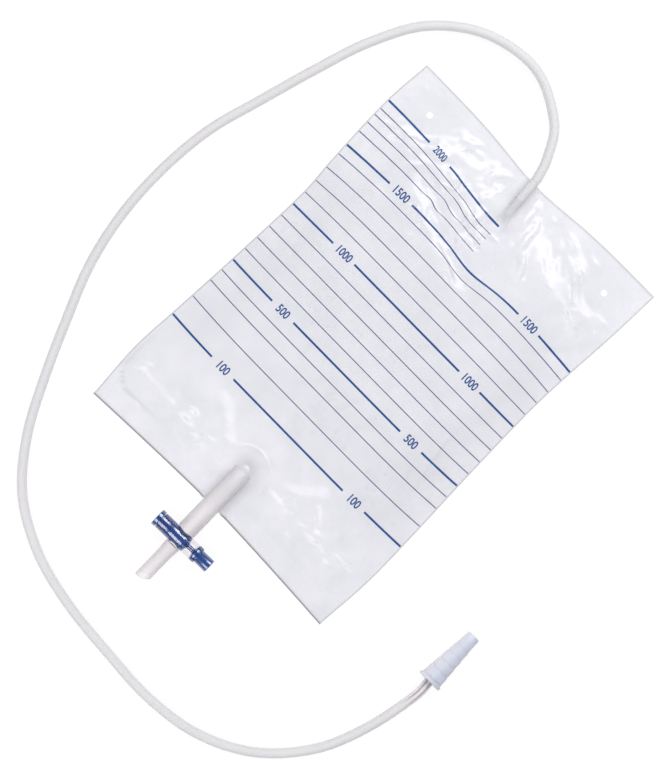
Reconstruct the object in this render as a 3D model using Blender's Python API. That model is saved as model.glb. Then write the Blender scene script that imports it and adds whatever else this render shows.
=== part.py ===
"""Two litre urine drainage bag with an inlet tube and a push-pull drain valve.

The bag lies on its back film with the print up. +Y points to the inlet, -Y to the drain, +X to the right as
the print reads. The origin is under the middle of the bag with its drain, on the surface that it lies on.
All sizes are in metres, written in millimetres times MM.
"""

import math

import bmesh
import bpy
from mathutils import Vector

MM = 0.001

# Clearance between pieces that touch or are welded on the real bag
GAP = 0.3 * MM

# Bag films
FILM = 0.2 * MM
BAG_WIDTH = 200.0 * MM
BAG_LENGTH = 291.2 * MM
SIDE_WELD = 4.0 * MM
TOP_WELD = 8.0 * MM
BOTTOM_WELD = 13.8 * MM
WELD_RAMP = 9.0 * MM        # distance from a weld over which a fold rises
BOTTOM_FLAT = 33.0 * MM     # the films cling together up to this height
PILLOW = 4.5 * MM           # height of the air between the films
PILLOW_RAMP = 42.0 * MM     # distance over which the films part
SLACK = 0.3 * MM            # extra room where a film is draped over a tube
FINE_COLUMN = 0.36          # grid of the film over the tubes, as a share of the sleeve's radius
WIDE_COLUMN = 2.7
LONGEST_CELL = (16.0 * MM, 10.5 * MM)    # grid of the rest of the film, across and along

# Outline as the bag lies: share of the length, then how far the left and the right side stand
# outside half the width, in millimetres
SIDES = (
    (0.0, 1.2, 1.8),
    (0.13, 4.0, 4.0),
    (0.26, 2.4, 3.0),
    (0.43, 0.4, 0.6),
    (0.62, -0.8, -1.4),
    (0.71, 1.3, -1.2),
    (0.88, 3.7, 1.2),
    (1.0, 1.8, 1.9),
)
BOTTOM_RISE = 1.6 * MM      # the sleeve draws the middle of the bottom edge up
BOTTOM_SAG = 3.9 * MM       # from the middle to the corners
BOTTOM_FADE = 60.0 * MM
# How far the film slips along the bag at its left and right side: share of the length, millimetres
SIDE_SLIP = (
    (0.0, 0.0, 0.0),
    (0.23, 1.6, 1.4),
    (0.30, 1.8, 2.3),
    (0.41, 0.9, 1.9),
    (0.52, 0.1, 1.0),
    (0.61, -0.7, 0.0),
    (0.665, -2.3, -1.1),
    (0.70, -2.6, -2.3),
    (0.765, -2.2, -2.3),
    (0.83, -1.2, -1.8),
    (1.0, 0.0, 0.0),
)

# Hanging holes near the top corners
HOLE_DIAMETER = 5.0 * MM
HOLE_FROM_SIDE = 21.9 * MM
HOLE_FROM_TOP = 20.6 * MM
HOLE_WELD = 9.0 * MM        # width of the flat weld around a hole

# Film gathered towards the inlet, where the print dips, in millimetres: distance below the top
# edge, depth of the dip, its spread and its middle
GATHERS = (
    (0, 4.3, 36, 1),
    (29, 7.4, 48, 4),
    (40, 7.2, 46, 4),
    (58, 3.7, 36, 7),
    (69, 3.5, 18, 10),
    (76, 2.9, 17, 10),
    (86, 0.5, 17, 10),
    (96, 0.0, 17, 10),
)

# Folds of the front film, in millimetres: across and height of both ends, half width, rise
FOLDS = (
    (-54, 241, -15, 223, 8, -1.5),
    (-15, 223, 10, 213, 8, -1.7),
    (-50, 226, 4, 204, 8, 0.9),
    (-16, 290, -26, 262, 5, 1.3),
    (-10, 290, -15, 264, 4, -1.0),
    (6, 290, 12, 268, 4, 1.1),
    (12, 290, 27, 266, 5, -1.0),
    (-86, 268, -52, 256, 7, 0.8),
    (-89, 34, -49, 32, 6, 0.9),
    (-49, 32, -19, 27, 6, 1.0),
    (24, 37, 61, 34, 6, 0.9),
    (61, 34, 86, 39, 6, 0.8),
    (-7, 34, -38, 60, 9, 1.1),
    (10, 34, 42, 62, 9, 1.0),
)

# Graduation, heights above the bottom edge of the bag
FIRST_MARKS = (66.7 * MM, 83.4 * MM, 98.6 * MM, 108.4 * MM)
EVEN_MARK_START = 118.2 * MM
EVEN_MARK_PITCH = 10.54 * MM
EVEN_MARKS = 6
WIDE_MARK_START = 182.0 * MM
WIDE_MARK_PITCH = 11.05 * MM
WIDE_MARKS = 4
CLOSE_MARKS = (222.6 * MM, 233.5 * MM, 240.8 * MM, 247.3 * MM, 252.4 * MM, 259.4 * MM)
HIGH_MARKS = 5              # the last lines are on the left only
MAJOR_MARKS = (0, 4, 9, 14, 19)
MAJOR_LINE = 1.5 * MM
MINOR_LINE = 0.75 * MM
LEFT_NUMBERS = (36.7 * MM, 55.2 * MM)    # gap for the numbers, from the left edge
RIGHT_NUMBERS = (31.8 * MM, 49.7 * MM)   # gap for the numbers, from the right edge
HIGH_MARK_LENGTH = 102.0 * MM            # the highest lines stop past the middle

# Inlet tube
TUBE_DIAMETER = 6.3 * MM
TUBE_ENTRY_X = -2.2 * MM
TUBE_END_X = 0.5 * MM
TUBE_INSIDE = 30.5 * MM     # length inside the bag
TUBE_SEAM_FROM_TOP = 5.0 * MM
TUBE_STEP = 13.0 * MM
FLOOR_CLEAR = 0.05 * MM

# Non-return valve, a film sleeve flattened below the tube
FLAP_WALL = 0.2 * MM
FLAP_COLLAR = 12.0 * MM     # length round the tube
FLAP_LENGTH = 46.0 * MM     # length beyond the tube's end
FLAP_WIDTH = 28.0 * MM
FLAP_MOUTH = 1.5 * MM       # outer height at the open end
FLAP_STATIONS = (0, 0.11, 0.22, 0.33, 0.43, 0.59, 0.76, 1)

# Catheter connector
FLANGE_DIAMETER = 16.4 * MM
FLANGE_THICKNESS = 2.2 * MM
CONNECTOR_LENGTH = 39.9 * MM
CONNECTOR_BASE = 14.3 * MM
NOSE_BASE = 9.7 * MM
NOSE_TIP = 8.8 * MM
NOSE_LENGTH = 10.5 * MM
BARBS = 4
BARB_STEP = 0.35 * MM       # radius lost at each barb's shoulder
CONNECTOR_BORE = 4.9 * MM
SOCKET_DEPTH = 12.0 * MM
TUBE_IN_SOCKET = 10.0 * MM
CONNECTOR_SPRING = 14.0 * MM    # straight tube behind the flange

# Drain sleeve
SLEEVE_DIAMETER = 12.8 * MM
SLEEVE_WALL = 1.2 * MM
SLEEVE_INSIDE = 31.0 * MM   # length inside the bag
DRAIN_X = 1.4 * MM          # the valve's offset from the middle of the bag
DRAIN_TILT = math.radians(1.6)

# Drain valve, distances along the barrel from the port's axis
BARREL_DROP = 26.4 * MM     # barrel's axis below the bottom edge of the bag
BARREL_DIAMETER = 11.2 * MM
BARREL_WALL = 0.7 * MM
BARREL_LEFT = 16.1 * MM
BARREL_RIGHT = 16.5 * MM
SPIGOT_WALL = 1.0 * MM
UPPER_SPIGOT = 18.0 * MM    # reach above the barrel's axis
LOWER_SPIGOT = 17.0 * MM
SADDLE = 0.2 * MM           # height of the fillet between the barrel and the spigots
SADDLE_SPREAD = 2.1 * MM
BARREL_RIM = 0.5 * MM       # rounding at the barrel's ends

# Valve stem
STEM_FLANGE_DIAMETER = 11.8 * MM
STEM_FLANGE_THICKNESS = 2.9 * MM
STEM_BEAD_DEPTH = 0.2 * MM
STEM_BEAD_WIDTH = 1.1 * MM
WAIST_START = 6.6 * MM
WAIST_LENGTH = 6.0 * MM
WAIST_DIAMETER = 2.4 * MM
KNOB_REACH = 9.5 * MM       # length of the stem beyond the barrel

# Drain nozzle
DRAIN_REACH = 61.4 * MM     # nozzle's tip below the bottom edge of the bag
NOZZLE_DIAMETER = 9.5 * MM
NOZZLE_WALL = 1.0 * MM
NOZZLE_SLANT = 0.38         # tangents of the oblique cut, across and up
NOZZLE_DIP = 0.34
NOZZLE_FLARE = 0.45 * MM    # swelling where it is pushed over the spigot
NOZZLE_FLARE_LENGTH = 6.0 * MM

# Heights and lengths that follow
BAG_TOP = (BAG_LENGTH + DRAIN_REACH) / 2
BAG_BOTTOM = BAG_TOP - BAG_LENGTH
SEAM_HEIGHT = FILM + GAP
TUBE_RADIUS = TUBE_DIAMETER / 2
FLAP_RADIUS = TUBE_RADIUS + GAP + FLAP_WALL
TUBE_HEIGHT = SEAM_HEIGHT + FLAP_RADIUS
SLEEVE_RADIUS = SLEEVE_DIAMETER / 2
DRAIN_HEIGHT = SEAM_HEIGHT + SLEEVE_RADIUS
BARREL_Y = BAG_BOTTOM - BARREL_DROP
BARREL_RADIUS = BARREL_DIAMETER / 2
BORE_RADIUS = BARREL_RADIUS - BARREL_WALL
STEM_RADIUS = BORE_RADIUS - GAP
UPPER_SPIGOT_RADIUS = SLEEVE_RADIUS - SLEEVE_WALL - GAP
LOWER_SPIGOT_RADIUS = NOZZLE_DIAMETER / 2 - NOZZLE_WALL - GAP
SPIGOT_SHOULDER = BARREL_RADIUS + SADDLE + GAP

# The film's grid is fine about the middle of the sleeve inside the bag
FILM_MIDDLE = DRAIN_X - math.tan(DRAIN_TILT) * (BARREL_DROP + SLEEVE_INSIDE / 2)

SEGMENTS = 32

# The tube's route outside the bag, in millimetres from the middle of the top edge
TUBE_ROUTE = (
    (-8, 14), (-21, 32), (-52, 46.5), (-89, 40), (-119, 17), (-137, -16), (-148.5, -52), (-158.5, -89),
    (-168, -126), (-171, -164), (-168.5, -202), (-160, -238.5), (-145.5, -273.5), (-129.5, -308),
    (-111, -341.5), (-86.5, -369.5), (-53.5, -388), (-17, -397), (21, -400.5), (59, -402), (96.5, -396),
    (130, -378.5), (155, -350), (168.5, -317),
)
CONNECTOR_PLACE = (174.2, -269.1)


def clear_scene():
    for thing in list(bpy.data.objects):
        bpy.data.objects.remove(thing, do_unlink=True)


def make_material(name, colour, roughness, alpha=1.0):
    material = bpy.data.materials.new(name)
    material.use_nodes = True
    shader = material.node_tree.nodes["Principled BSDF"]
    shader.inputs["Base Color"].default_value = (*colour, 1.0)
    shader.inputs["Roughness"].default_value = roughness
    shader.inputs["Metallic"].default_value = 0.0
    shader.inputs["Alpha"].default_value = alpha
    material.diffuse_color = (*colour, alpha)
    return material


def ring(along, half_width, half_height=None, lift=0.0, slant=0.0, dip=0.0, segments=SEGMENTS):
    """One section across local Y: a circle or ellipse, raised by lift and cut obliquely by slant and dip."""
    half_height = half_width if half_height is None else half_height
    points = []
    for step in range(segments):
        angle = math.tau * step / segments
        across = half_width * math.cos(angle)
        up = half_height * math.sin(angle)
        points.append(Vector((across, along + slant * across + dip * up, lift + up)))
    return points


def loft(bm, rings, hollow):
    """Skin a row of rings. A hollow piece joins its last ring to its first, a solid one is capped."""
    rows = [[bm.verts.new(point) for point in points] for points in rings]
    pairs = list(zip(rows, rows[1:]))
    if hollow:
        pairs.append((rows[-1], rows[0]))
    for row, after in pairs:
        for i in range(len(row)):
            k = (i + 1) % len(row)
            bm.faces.new((row[i], row[k], after[k], after[i]))
    if not hollow:
        bm.faces.new(rows[0])
        bm.faces.new(rows[-1])
    bmesh.ops.recalc_face_normals(bm, faces=bm.faces)


def add_object(name, bm, materials, location=(0, 0, 0), rotation=(0, 0, 0), parent=None, sharp=35):
    mesh = bpy.data.meshes.new(name)
    bm.to_mesh(mesh)
    bm.free()
    mesh.shade_smooth()
    mesh.set_sharp_from_angle(angle=math.radians(sharp))
    for material in materials:
        mesh.materials.append(material)
    thing = bpy.data.objects.new(name, mesh)
    bpy.context.collection.objects.link(thing)
    thing.location = location
    thing.rotation_euler = rotation
    thing.parent = parent
    return thing


def add_empty(name, location, rotation=(0, 0, 0)):
    empty = bpy.data.objects.new(name, None)
    bpy.context.collection.objects.link(empty)
    empty.location = location
    empty.rotation_euler = rotation
    empty.empty_display_size = 10 * MM
    return empty


def as_helper(thing):
    thing.hide_render = True
    thing.display_type = "WIRE"
    return thing


def boolean(thing, other, operation):
    modifier = thing.modifiers.new(other.name, "BOOLEAN")
    modifier.operation = operation
    modifier.object = other
    return modifier


def bevel(thing, width, segments=2, angle=40):
    modifier = thing.modifiers.new("edges", "BEVEL")
    modifier.width = width
    modifier.segments = segments
    modifier.limit_method = "ANGLE"
    modifier.angle_limit = math.radians(angle)
    return modifier


def ease(value):
    """Smooth ramp from 0 to 1."""
    value = min(max(value, 0.0), 1.0)
    return value * value * (3 - 2 * value)


def mix(low, high, share):
    return low + (high - low) * share


def read_off(rows, at, column):
    """Value of a column on a smooth curve through the rows, whose first column is the place."""
    at = min(max(at, rows[0][0]), rows[-1][0])
    place = next(i for i in range(len(rows) - 1) if at <= rows[i + 1][0])
    start, end = rows[place], rows[place + 1]
    before = rows[max(place - 1, 0)]
    after = rows[min(place + 2, len(rows) - 1)]
    span = end[0] - start[0]
    leaving = span * (end[column] - before[column]) / (end[0] - before[0])
    arriving = span * (after[column] - start[column]) / (after[0] - start[0])
    t = (at - start[0]) / span
    value = mix(start[column], end[column], t * t * (3 - 2 * t))
    return value + t * (1 - t) * ((1 - t) * leaving - t * arriving)


# The shape of the empty bag


def side_at(x, y):
    """Distance from the middle to the side of the bag that x is on."""
    column = 1 if x < 0 else 2
    return BAG_WIDTH / 2 + read_off(SIDES, (y - BAG_BOTTOM) / BAG_LENGTH, column) * MM


def gathered(across, height):
    """How far the gathers at the inlet draw a point of the flat film down the bag."""
    below = (BAG_LENGTH - height) / MM
    depth, spread, middle = (read_off(GATHERS, below, column) for column in (1, 2, 3))
    return depth * MM * math.exp(-(((across / MM - middle) / spread) ** 2))


def on_bag(across, height):
    """Plan position of a point of the flat film, given from the middle and from the bottom edge."""
    outward = abs(across) / (BAG_WIDTH / 2)
    slip = read_off(SIDE_SLIP, height / BAG_LENGTH, 1 if across < 0 else 2) * MM * outward ** 4
    sag = (BOTTOM_RISE - BOTTOM_SAG * outward ** 1.4) * (1 - ease(height / BOTTOM_FADE))
    y = BAG_BOTTOM + height - gathered(across, height) + slip + sag
    return across * side_at(across, y) / (BAG_WIDTH / 2), y


def hole_places():
    for side in (-1, 1):
        yield side * (BAG_WIDTH / 2 - HOLE_FROM_SIDE), BAG_TOP - HOLE_FROM_TOP


def inside_welds(x, y, bottom, ramp):
    """From 0 at the welds to 1 at a distance of one ramp inside them."""
    share = ease((side_at(x, y) - SIDE_WELD - abs(x)) / ramp)
    share *= ease((BAG_TOP - TOP_WELD - y) / ramp)
    share *= ease((y - BAG_BOTTOM - bottom) / ramp)
    for hole_x, hole_y in hole_places():
        away = math.hypot(x - hole_x, y - hole_y) - HOLE_DIAMETER / 2 - HOLE_WELD
        share *= ease(away / HOLE_WELD)
    return share


def folds(x, y):
    """Rise of the film's folds: each is a rounded ridge or valley along its line."""
    point = Vector((x, y - BAG_BOTTOM)) / MM
    total = 0.0
    for x1, y1, x2, y2, spread, rise in FOLDS:
        start = Vector((x1, y1))
        along = Vector((x2, y2)) - start
        share = min(max((point - start).dot(along) / along.length_squared, 0.0), 1.0)
        away = (point - start - along * share).length / spread
        if away < 1:
            total += rise * MM * (1 - away * away) ** 2
    return total


def draped(away, ridge_half_width, ridge_half_height, middle, slope):
    """Height of a film drawn over a rounded ridge and sloping straight down from it."""
    steepness = slope * ridge_half_width / ridge_half_height
    share = steepness / math.sqrt(1 + steepness ** 2)
    away = abs(away)
    leaves = share * ridge_half_width
    if away < leaves:
        return middle + ridge_half_height * math.sqrt(1 - (away / ridge_half_width) ** 2)
    return middle + ridge_half_height * math.sqrt(1 - share ** 2) - slope * (away - leaves)


def flap_half_width(below):
    """Half width of the non-return valve at a distance below the tube's end."""
    return mix(FLAP_RADIUS, FLAP_WIDTH / 2, ease(below / (0.75 * FLAP_LENGTH)))


def flap_half_height(below):
    return mix(FLAP_RADIUS, FLAP_MOUTH / 2, ease((below + 1 * MM) / (0.5 * FLAP_LENGTH)))


def tube_direction():
    """Unit vector of the tube's stretch inside the bag, pointing out of it."""
    start = Vector((TUBE_END_X, BAG_TOP - TUBE_INSIDE))
    end = Vector((TUBE_ENTRY_X, BAG_TOP - TUBE_SEAM_FROM_TOP))
    return (end - start).normalized()


def over_tube(x, y):
    """Film height over the inlet tube and the valve below it."""
    direction = tube_direction()
    offset = Vector((x - TUBE_END_X, y - (BAG_TOP - TUBE_INSIDE)))
    below = -offset.dot(direction)
    away = offset.x * direction.y - offset.y * direction.x
    room = GAP + SLACK
    slope = mix(1.5, 0.35, ease((below + TUBE_INSIDE) / TUBE_INSIDE))
    middle = SEAM_HEIGHT + flap_half_height(below)
    height = draped(away, flap_half_width(below) + room, flap_half_height(below) + room, middle, slope)
    return height - slope * max(below - FLAP_LENGTH, 0.0)


def over_sleeve(x, y):
    """Film height over the drain sleeve, falling away from its inner end."""
    above = y - (BAG_BOTTOM + SLEEVE_INSIDE)
    slope = mix(1.7, 0.6, ease((above + SLEEVE_INSIDE) / SLEEVE_INSIDE))
    room = GAP + SLACK
    away = x - DRAIN_X + math.tan(DRAIN_TILT) * (y - BARREL_Y)
    height = draped(away, SLEEVE_RADIUS + room, SLEEVE_RADIUS + room, DRAIN_HEIGHT, slope)
    return height - 0.45 * max(above - 1 * MM, 0.0)


def blend_up(first, second, softness=0.6 * MM):
    """The higher of two heights, with a rounded valley where they meet."""
    spread = max(softness - abs(first - second), 0.0) / softness
    return max(first, second) + spread * spread * softness / 4


def film_height(x, y):
    """Underside of the front film."""
    air = PILLOW * inside_welds(x, y, BOTTOM_FLAT, PILLOW_RAMP)
    folded = folds(x, y) * inside_welds(x, y, BOTTOM_WELD, WELD_RAMP)
    height = SEAM_HEIGHT + max(air + folded, 0.0)
    height = blend_up(height, over_tube(x, y))
    return blend_up(height, over_sleeve(x, y))


# The printed front film


def marks():
    """Heights of the graduation lines with their width and reach across the bag."""
    even = tuple(EVEN_MARK_START + i * EVEN_MARK_PITCH for i in range(EVEN_MARKS))
    wide = tuple(WIDE_MARK_START + i * WIDE_MARK_PITCH for i in range(WIDE_MARKS))
    heights = FIRST_MARKS + even + wide + CLOSE_MARKS
    for number, height in enumerate(heights):
        major = number in MAJOR_MARKS
        width = MAJOR_LINE if major else MINOR_LINE
        reach = HIGH_MARK_LENGTH if number >= len(heights) - HIGH_MARKS else BAG_WIDTH
        yield height, width, reach, major


def stations(required, longest):
    """Sorted grid positions through the required ones, with no cell longer than longest."""
    ordered = sorted(required)
    kept = [ordered[0]]
    for place in ordered[1:]:
        if place - kept[-1] < 0.05 * MM:
            continue
        cells = math.ceil((place - kept[-1]) / longest)
        start = kept[-1]
        kept.extend(mix(start, place, i / cells) for i in range(1, cells + 1))
    return kept


def film_columns():
    half = BAG_WIDTH / 2
    columns = [-half, half, -half + SIDE_WELD, half - SIDE_WELD, -half + HIGH_MARK_LENGTH]
    columns += [-half + edge for edge in LEFT_NUMBERS]
    columns += [half - edge for edge in RIGHT_NUMBERS]
    columns += [FILM_MIDDLE + step * FINE_COLUMN * SLEEVE_RADIUS for step in range(-5, 6)]
    columns += [FILM_MIDDLE - WIDE_COLUMN * SLEEVE_RADIUS, FILM_MIDDLE + WIDE_COLUMN * SLEEVE_RADIUS]
    return stations(columns, LONGEST_CELL[0])


def film_rows():
    rows = [0.0, BAG_LENGTH, BAG_LENGTH - TOP_WELD, BAG_LENGTH - TUBE_INSIDE]
    rows += [BOTTOM_WELD, SLEEVE_INSIDE, BOTTOM_FLAT + WELD_RAMP]
    for height, width, _, _ in marks():
        rows += [height - width / 2, height + width / 2]
    return stations(rows, LONGEST_CELL[1])


def is_ink(across, height):
    """Whether the middle of a grid cell lies on a graduation line."""
    half = BAG_WIDTH / 2
    for mark, width, reach, major in marks():
        if abs(height - mark) > width / 2 or across + half > reach:
            continue
        left = LEFT_NUMBERS[0] < across + half < LEFT_NUMBERS[1]
        right = RIGHT_NUMBERS[0] < half - across < RIGHT_NUMBERS[1]
        return not (major and (left or right))
    return False


def make_hole_cutters():
    cutters = []
    for number, (x, y) in enumerate(hole_places(), start=1):
        bm = bmesh.new()
        depth = 10 * MM
        bmesh.ops.create_cone(bm, cap_ends=True, segments=20, radius1=HOLE_DIAMETER / 2,
                              radius2=HOLE_DIAMETER / 2, depth=depth)
        cutters.append(as_helper(add_object(f"hole_cutter_{number}", bm, (), location=(x, y, 0))))
    return cutters


def make_front_film(film, ink, cutters):
    columns = film_columns()
    rows = film_rows()
    bm = bmesh.new()
    grid = []
    for height in rows:
        line = []
        for across in columns:
            x, y = on_bag(across, height)
            line.append(bm.verts.new((x, y, film_height(x, y))))
        grid.append(line)
    for j in range(len(rows) - 1):
        for i in range(len(columns) - 1):
            face = bm.faces.new((grid[j][i], grid[j][i + 1], grid[j + 1][i + 1], grid[j + 1][i]))
            middle = (columns[i] + columns[i + 1]) / 2, (rows[j] + rows[j + 1]) / 2
            face.material_index = 1 if is_ink(*middle) else 0
    front = add_object("front_film", bm, (film, ink), sharp=60)
    shell = front.modifiers.new("thickness", "SOLIDIFY")
    shell.thickness = FILM
    shell.offset = 1.0
    for cutter in cutters:
        boolean(front, cutter, "DIFFERENCE")
    return front


def make_back_film(film, cutters):
    columns = film_columns()
    rows = film_rows()
    left, right = columns[0], columns[-1]
    edge = [on_bag(across, rows[0]) for across in columns]
    edge += [on_bag(right, height) for height in rows[1:-1]]
    edge += [on_bag(across, rows[-1]) for across in reversed(columns)]
    edge += [on_bag(left, height) for height in reversed(rows[1:-1])]
    bm = bmesh.new()
    outline = bm.faces.new([bm.verts.new((x, y, 0)) for x, y in edge])
    raised = bmesh.ops.extrude_face_region(bm, geom=[outline])["geom"]
    bmesh.ops.translate(bm, vec=(0, 0, FILM), verts=[item for item in raised if isinstance(item, bmesh.types.BMVert)])
    bmesh.ops.recalc_face_normals(bm, faces=bm.faces)
    back = add_object("back_film", bm, (film,), sharp=60)
    for cutter in cutters:
        boolean(back, cutter, "DIFFERENCE")
    return back


# The inlet tube and what is on it


def make_non_return_valve(material):
    """Film sleeve that is round about the tube and flattens to a wide mouth below it."""
    outside = []
    inside = []
    for below in [-FLAP_COLLAR] + [share * FLAP_LENGTH for share in FLAP_STATIONS]:
        wide = flap_half_width(below)
        high = flap_half_height(below)
        lift = high - FLAP_RADIUS
        outside.append(ring(-below, wide, high, lift, segments=24))
        inside.append(ring(-below, wide - FLAP_WALL, high - FLAP_WALL, lift, segments=24))
    bm = bmesh.new()
    loft(bm, outside + inside[::-1], hollow=True)
    direction = tube_direction()
    turn = math.atan2(-direction.x, direction.y)
    place = (TUBE_END_X, BAG_TOP - TUBE_INSIDE, TUBE_HEIGHT)
    return add_object("non_return_valve", bm, (material,), location=place, rotation=(0, 0, turn))


def connector_tilt():
    """The connector lies on its flange and its tip, so its axis dips towards the tip."""
    return math.atan2((FLANGE_DIAMETER - NOSE_TIP) / 2, CONNECTOR_LENGTH - FLANGE_THICKNESS)


def connector_frame():
    """Middle of the flange's back face, and the direction to the tip."""
    tilt = connector_tilt()
    height = FLANGE_DIAMETER / 2 * math.cos(tilt) + FLANGE_THICKNESS * math.sin(tilt) + FLOOR_CLEAR
    x, from_top = CONNECTOR_PLACE
    base = Vector((x * MM, BAG_TOP + from_top * MM, height))
    return base, Vector((0, math.cos(tilt), -math.sin(tilt)))


def smooth_curve(points, step_length):
    """Evenly spaced points on a smooth curve through the given ones."""
    ends = [2 * points[0] - points[1]] + points + [2 * points[-1] - points[-2]]
    dense = []
    steps = 24
    for before, start, end, after in zip(ends, ends[1:], ends[2:], ends[3:]):
        for step in range(steps):
            t = step / steps
            curved = (2 * start + (end - before) * t + (2 * before - 5 * start + 4 * end - after) * t * t
                      + (3 * start - before - 3 * end + after) * t ** 3)
            dense.append(curved / 2)
    dense.append(points[-1])
    travelled = [0.0]
    for start, end in zip(dense, dense[1:]):
        travelled.append(travelled[-1] + (end - start).length)
    spaced = []
    place = 0
    count = round(travelled[-1] / step_length) + 1
    for number in range(count):
        target = travelled[-1] * number / (count - 1)
        while place < len(dense) - 2 and travelled[place + 1] < target:
            place += 1
        share = (target - travelled[place]) / (travelled[place + 1] - travelled[place])
        spaced.append(dense[place].lerp(dense[place + 1], min(share, 1.0)))
    return spaced


def tube_path():
    direction = tube_direction().to_3d()
    entry = Vector((TUBE_ENTRY_X, BAG_TOP - TUBE_SEAM_FROM_TOP, TUBE_HEIGHT))
    end = Vector((TUBE_END_X, BAG_TOP - TUBE_INSIDE, TUBE_HEIGHT))
    path = [end, end.lerp(entry, 0.5), entry, entry + direction * 5 * MM]
    floor = TUBE_RADIUS + FLOOR_CLEAR
    for number, (x, from_top) in enumerate(TUBE_ROUTE):
        height = mix(TUBE_HEIGHT, floor, ease(number / 2))
        path.append(Vector((x * MM, BAG_TOP + from_top * MM, height)))
    base, towards_tip = connector_frame()
    path.append(base - towards_tip * CONNECTOR_SPRING)
    path.append(base)
    path.append(base + towards_tip * TUBE_IN_SOCKET)
    path = smooth_curve(path, TUBE_STEP)
    for point in path:
        point.z = max(point.z, floor)
    return path


def make_inlet_tube(material):
    curve = bpy.data.curves.new("inlet_tube", "CURVE")
    curve.dimensions = "3D"
    curve.bevel_depth = TUBE_RADIUS
    curve.bevel_resolution = 3
    curve.use_fill_caps = True
    spline = curve.splines.new("POLY")
    path = tube_path()
    spline.points.add(len(path) - 1)
    for point, place in zip(spline.points, path):
        point.co = (*place, 1.0)
    curve.materials.append(material)
    tube = bpy.data.objects.new("inlet_tube", curve)
    bpy.context.collection.objects.link(tube)
    return tube


def make_catheter_connector(material):
    """Stepped taper on a flange, bored through, with a wider socket for the tube."""
    flange = FLANGE_DIAMETER / 2
    outline = [(0, flange), (FLANGE_THICKNESS, flange)]
    start = FLANGE_THICKNESS
    barb_length = (CONNECTOR_LENGTH - NOSE_LENGTH - start) / BARBS
    fall = (CONNECTOR_BASE / 2 - NOSE_BASE / 2 - BARBS * BARB_STEP) / BARBS
    radius = CONNECTOR_BASE / 2
    for _ in range(BARBS):
        outline.append((start, radius))
        outline.append((start + barb_length, radius - fall))
        start += barb_length
        radius -= fall + BARB_STEP
    outline.append((start, radius))
    outline.append((CONNECTOR_LENGTH, NOSE_TIP / 2))
    socket = TUBE_RADIUS + GAP
    bore = CONNECTOR_BORE / 2
    inner = [(CONNECTOR_LENGTH, bore), (SOCKET_DEPTH, bore), (SOCKET_DEPTH, socket), (0, socket)]
    bm = bmesh.new()
    loft(bm, [ring(along, radius, segments=24) for along, radius in outline + inner], hollow=True)
    base, _ = connector_frame()
    holder = add_empty("connector_place", base, rotation=(-connector_tilt(), 0, 0))
    connector = add_object("catheter_connector", bm, (material,), parent=holder)
    bevel(connector, 0.25 * MM, segments=1)
    return connector


# The drain


def make_drain_sleeve(material, drain):
    start = SPIGOT_SHOULDER
    end = BARREL_DROP + SLEEVE_INSIDE
    inner = SLEEVE_RADIUS - SLEEVE_WALL
    bm = bmesh.new()
    loft(bm, [ring(start, SLEEVE_RADIUS), ring(end, SLEEVE_RADIUS), ring(end, inner), ring(start, inner)], hollow=True)
    sleeve = add_object("drain_sleeve", bm, (material,), parent=drain)
    bevel(sleeve, 0.25 * MM, segments=1)
    return sleeve


def spigot_rings(radius, reach):
    """Solid spigot whose foot widens along the barrel, as a moulded fillet does."""
    depth = min(radius, BARREL_RADIUS - 0.4 * MM)
    rings = [ring(0.3 * BARREL_RADIUS, radius + SADDLE_SPREAD, depth)]
    steps = 5
    foot = 0.8 * BARREL_RADIUS
    for step in range(steps + 1):
        angle = math.pi / 2 * step / steps
        along = foot + (SPIGOT_SHOULDER - GAP - foot) * math.sin(angle)
        extra = SADDLE_SPREAD * (1 - math.sin(angle)) ** 1.5
        rings.append(ring(along, radius + extra, mix(depth, radius, step / steps)))
    rings.append(ring(reach - BARREL_RIM, radius))
    rings.append(ring(reach, radius - BARREL_RIM))
    return rings


def make_valve_body(material, drain):
    """Clear cross piece: a bored barrel with a spigot up into the sleeve and one down into the nozzle."""
    rim = BARREL_RADIUS - BARREL_RIM / 2
    turned = [(-BARREL_RIGHT, rim), (-BARREL_RIGHT + BARREL_RIM, BARREL_RADIUS),
              (BARREL_LEFT - BARREL_RIM, BARREL_RADIUS), (BARREL_LEFT, rim)]
    bm = bmesh.new()
    loft(bm, [ring(along, radius) for along, radius in turned], hollow=False)
    body = add_object("valve_body", bm, (material,), rotation=(0, 0, math.pi / 2), parent=drain)

    def helper(name, rings, rotation):
        bm = bmesh.new()
        loft(bm, rings, hollow=False)
        return as_helper(add_object(name, bm, (), rotation=rotation, parent=drain))

    upright = (0, 0, 0)
    downward = (0, 0, math.pi)
    across = (0, 0, math.pi / 2)
    boolean(body, helper("upper_spigot", spigot_rings(UPPER_SPIGOT_RADIUS, UPPER_SPIGOT), upright), "UNION")
    boolean(body, helper("lower_spigot", spigot_rings(LOWER_SPIGOT_RADIUS, LOWER_SPIGOT), downward), "UNION")
    past = 3 * MM
    bore = [ring(-BARREL_RIGHT - past, BORE_RADIUS), ring(BARREL_LEFT + past, BORE_RADIUS)]
    boolean(body, helper("barrel_bore", bore, across), "DIFFERENCE")
    upper = UPPER_SPIGOT_RADIUS - SPIGOT_WALL
    lower = LOWER_SPIGOT_RADIUS - SPIGOT_WALL
    upper_bore = [ring(0, upper, segments=24), ring(UPPER_SPIGOT + past, upper, segments=24)]
    lower_bore = [ring(0, lower, segments=24), ring(LOWER_SPIGOT + past, lower, segments=24)]
    boolean(body, helper("upper_port_bore", upper_bore, upright), "DIFFERENCE")
    boolean(body, helper("lower_port_bore", lower_bore, downward), "DIFFERENCE")
    return body


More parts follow.
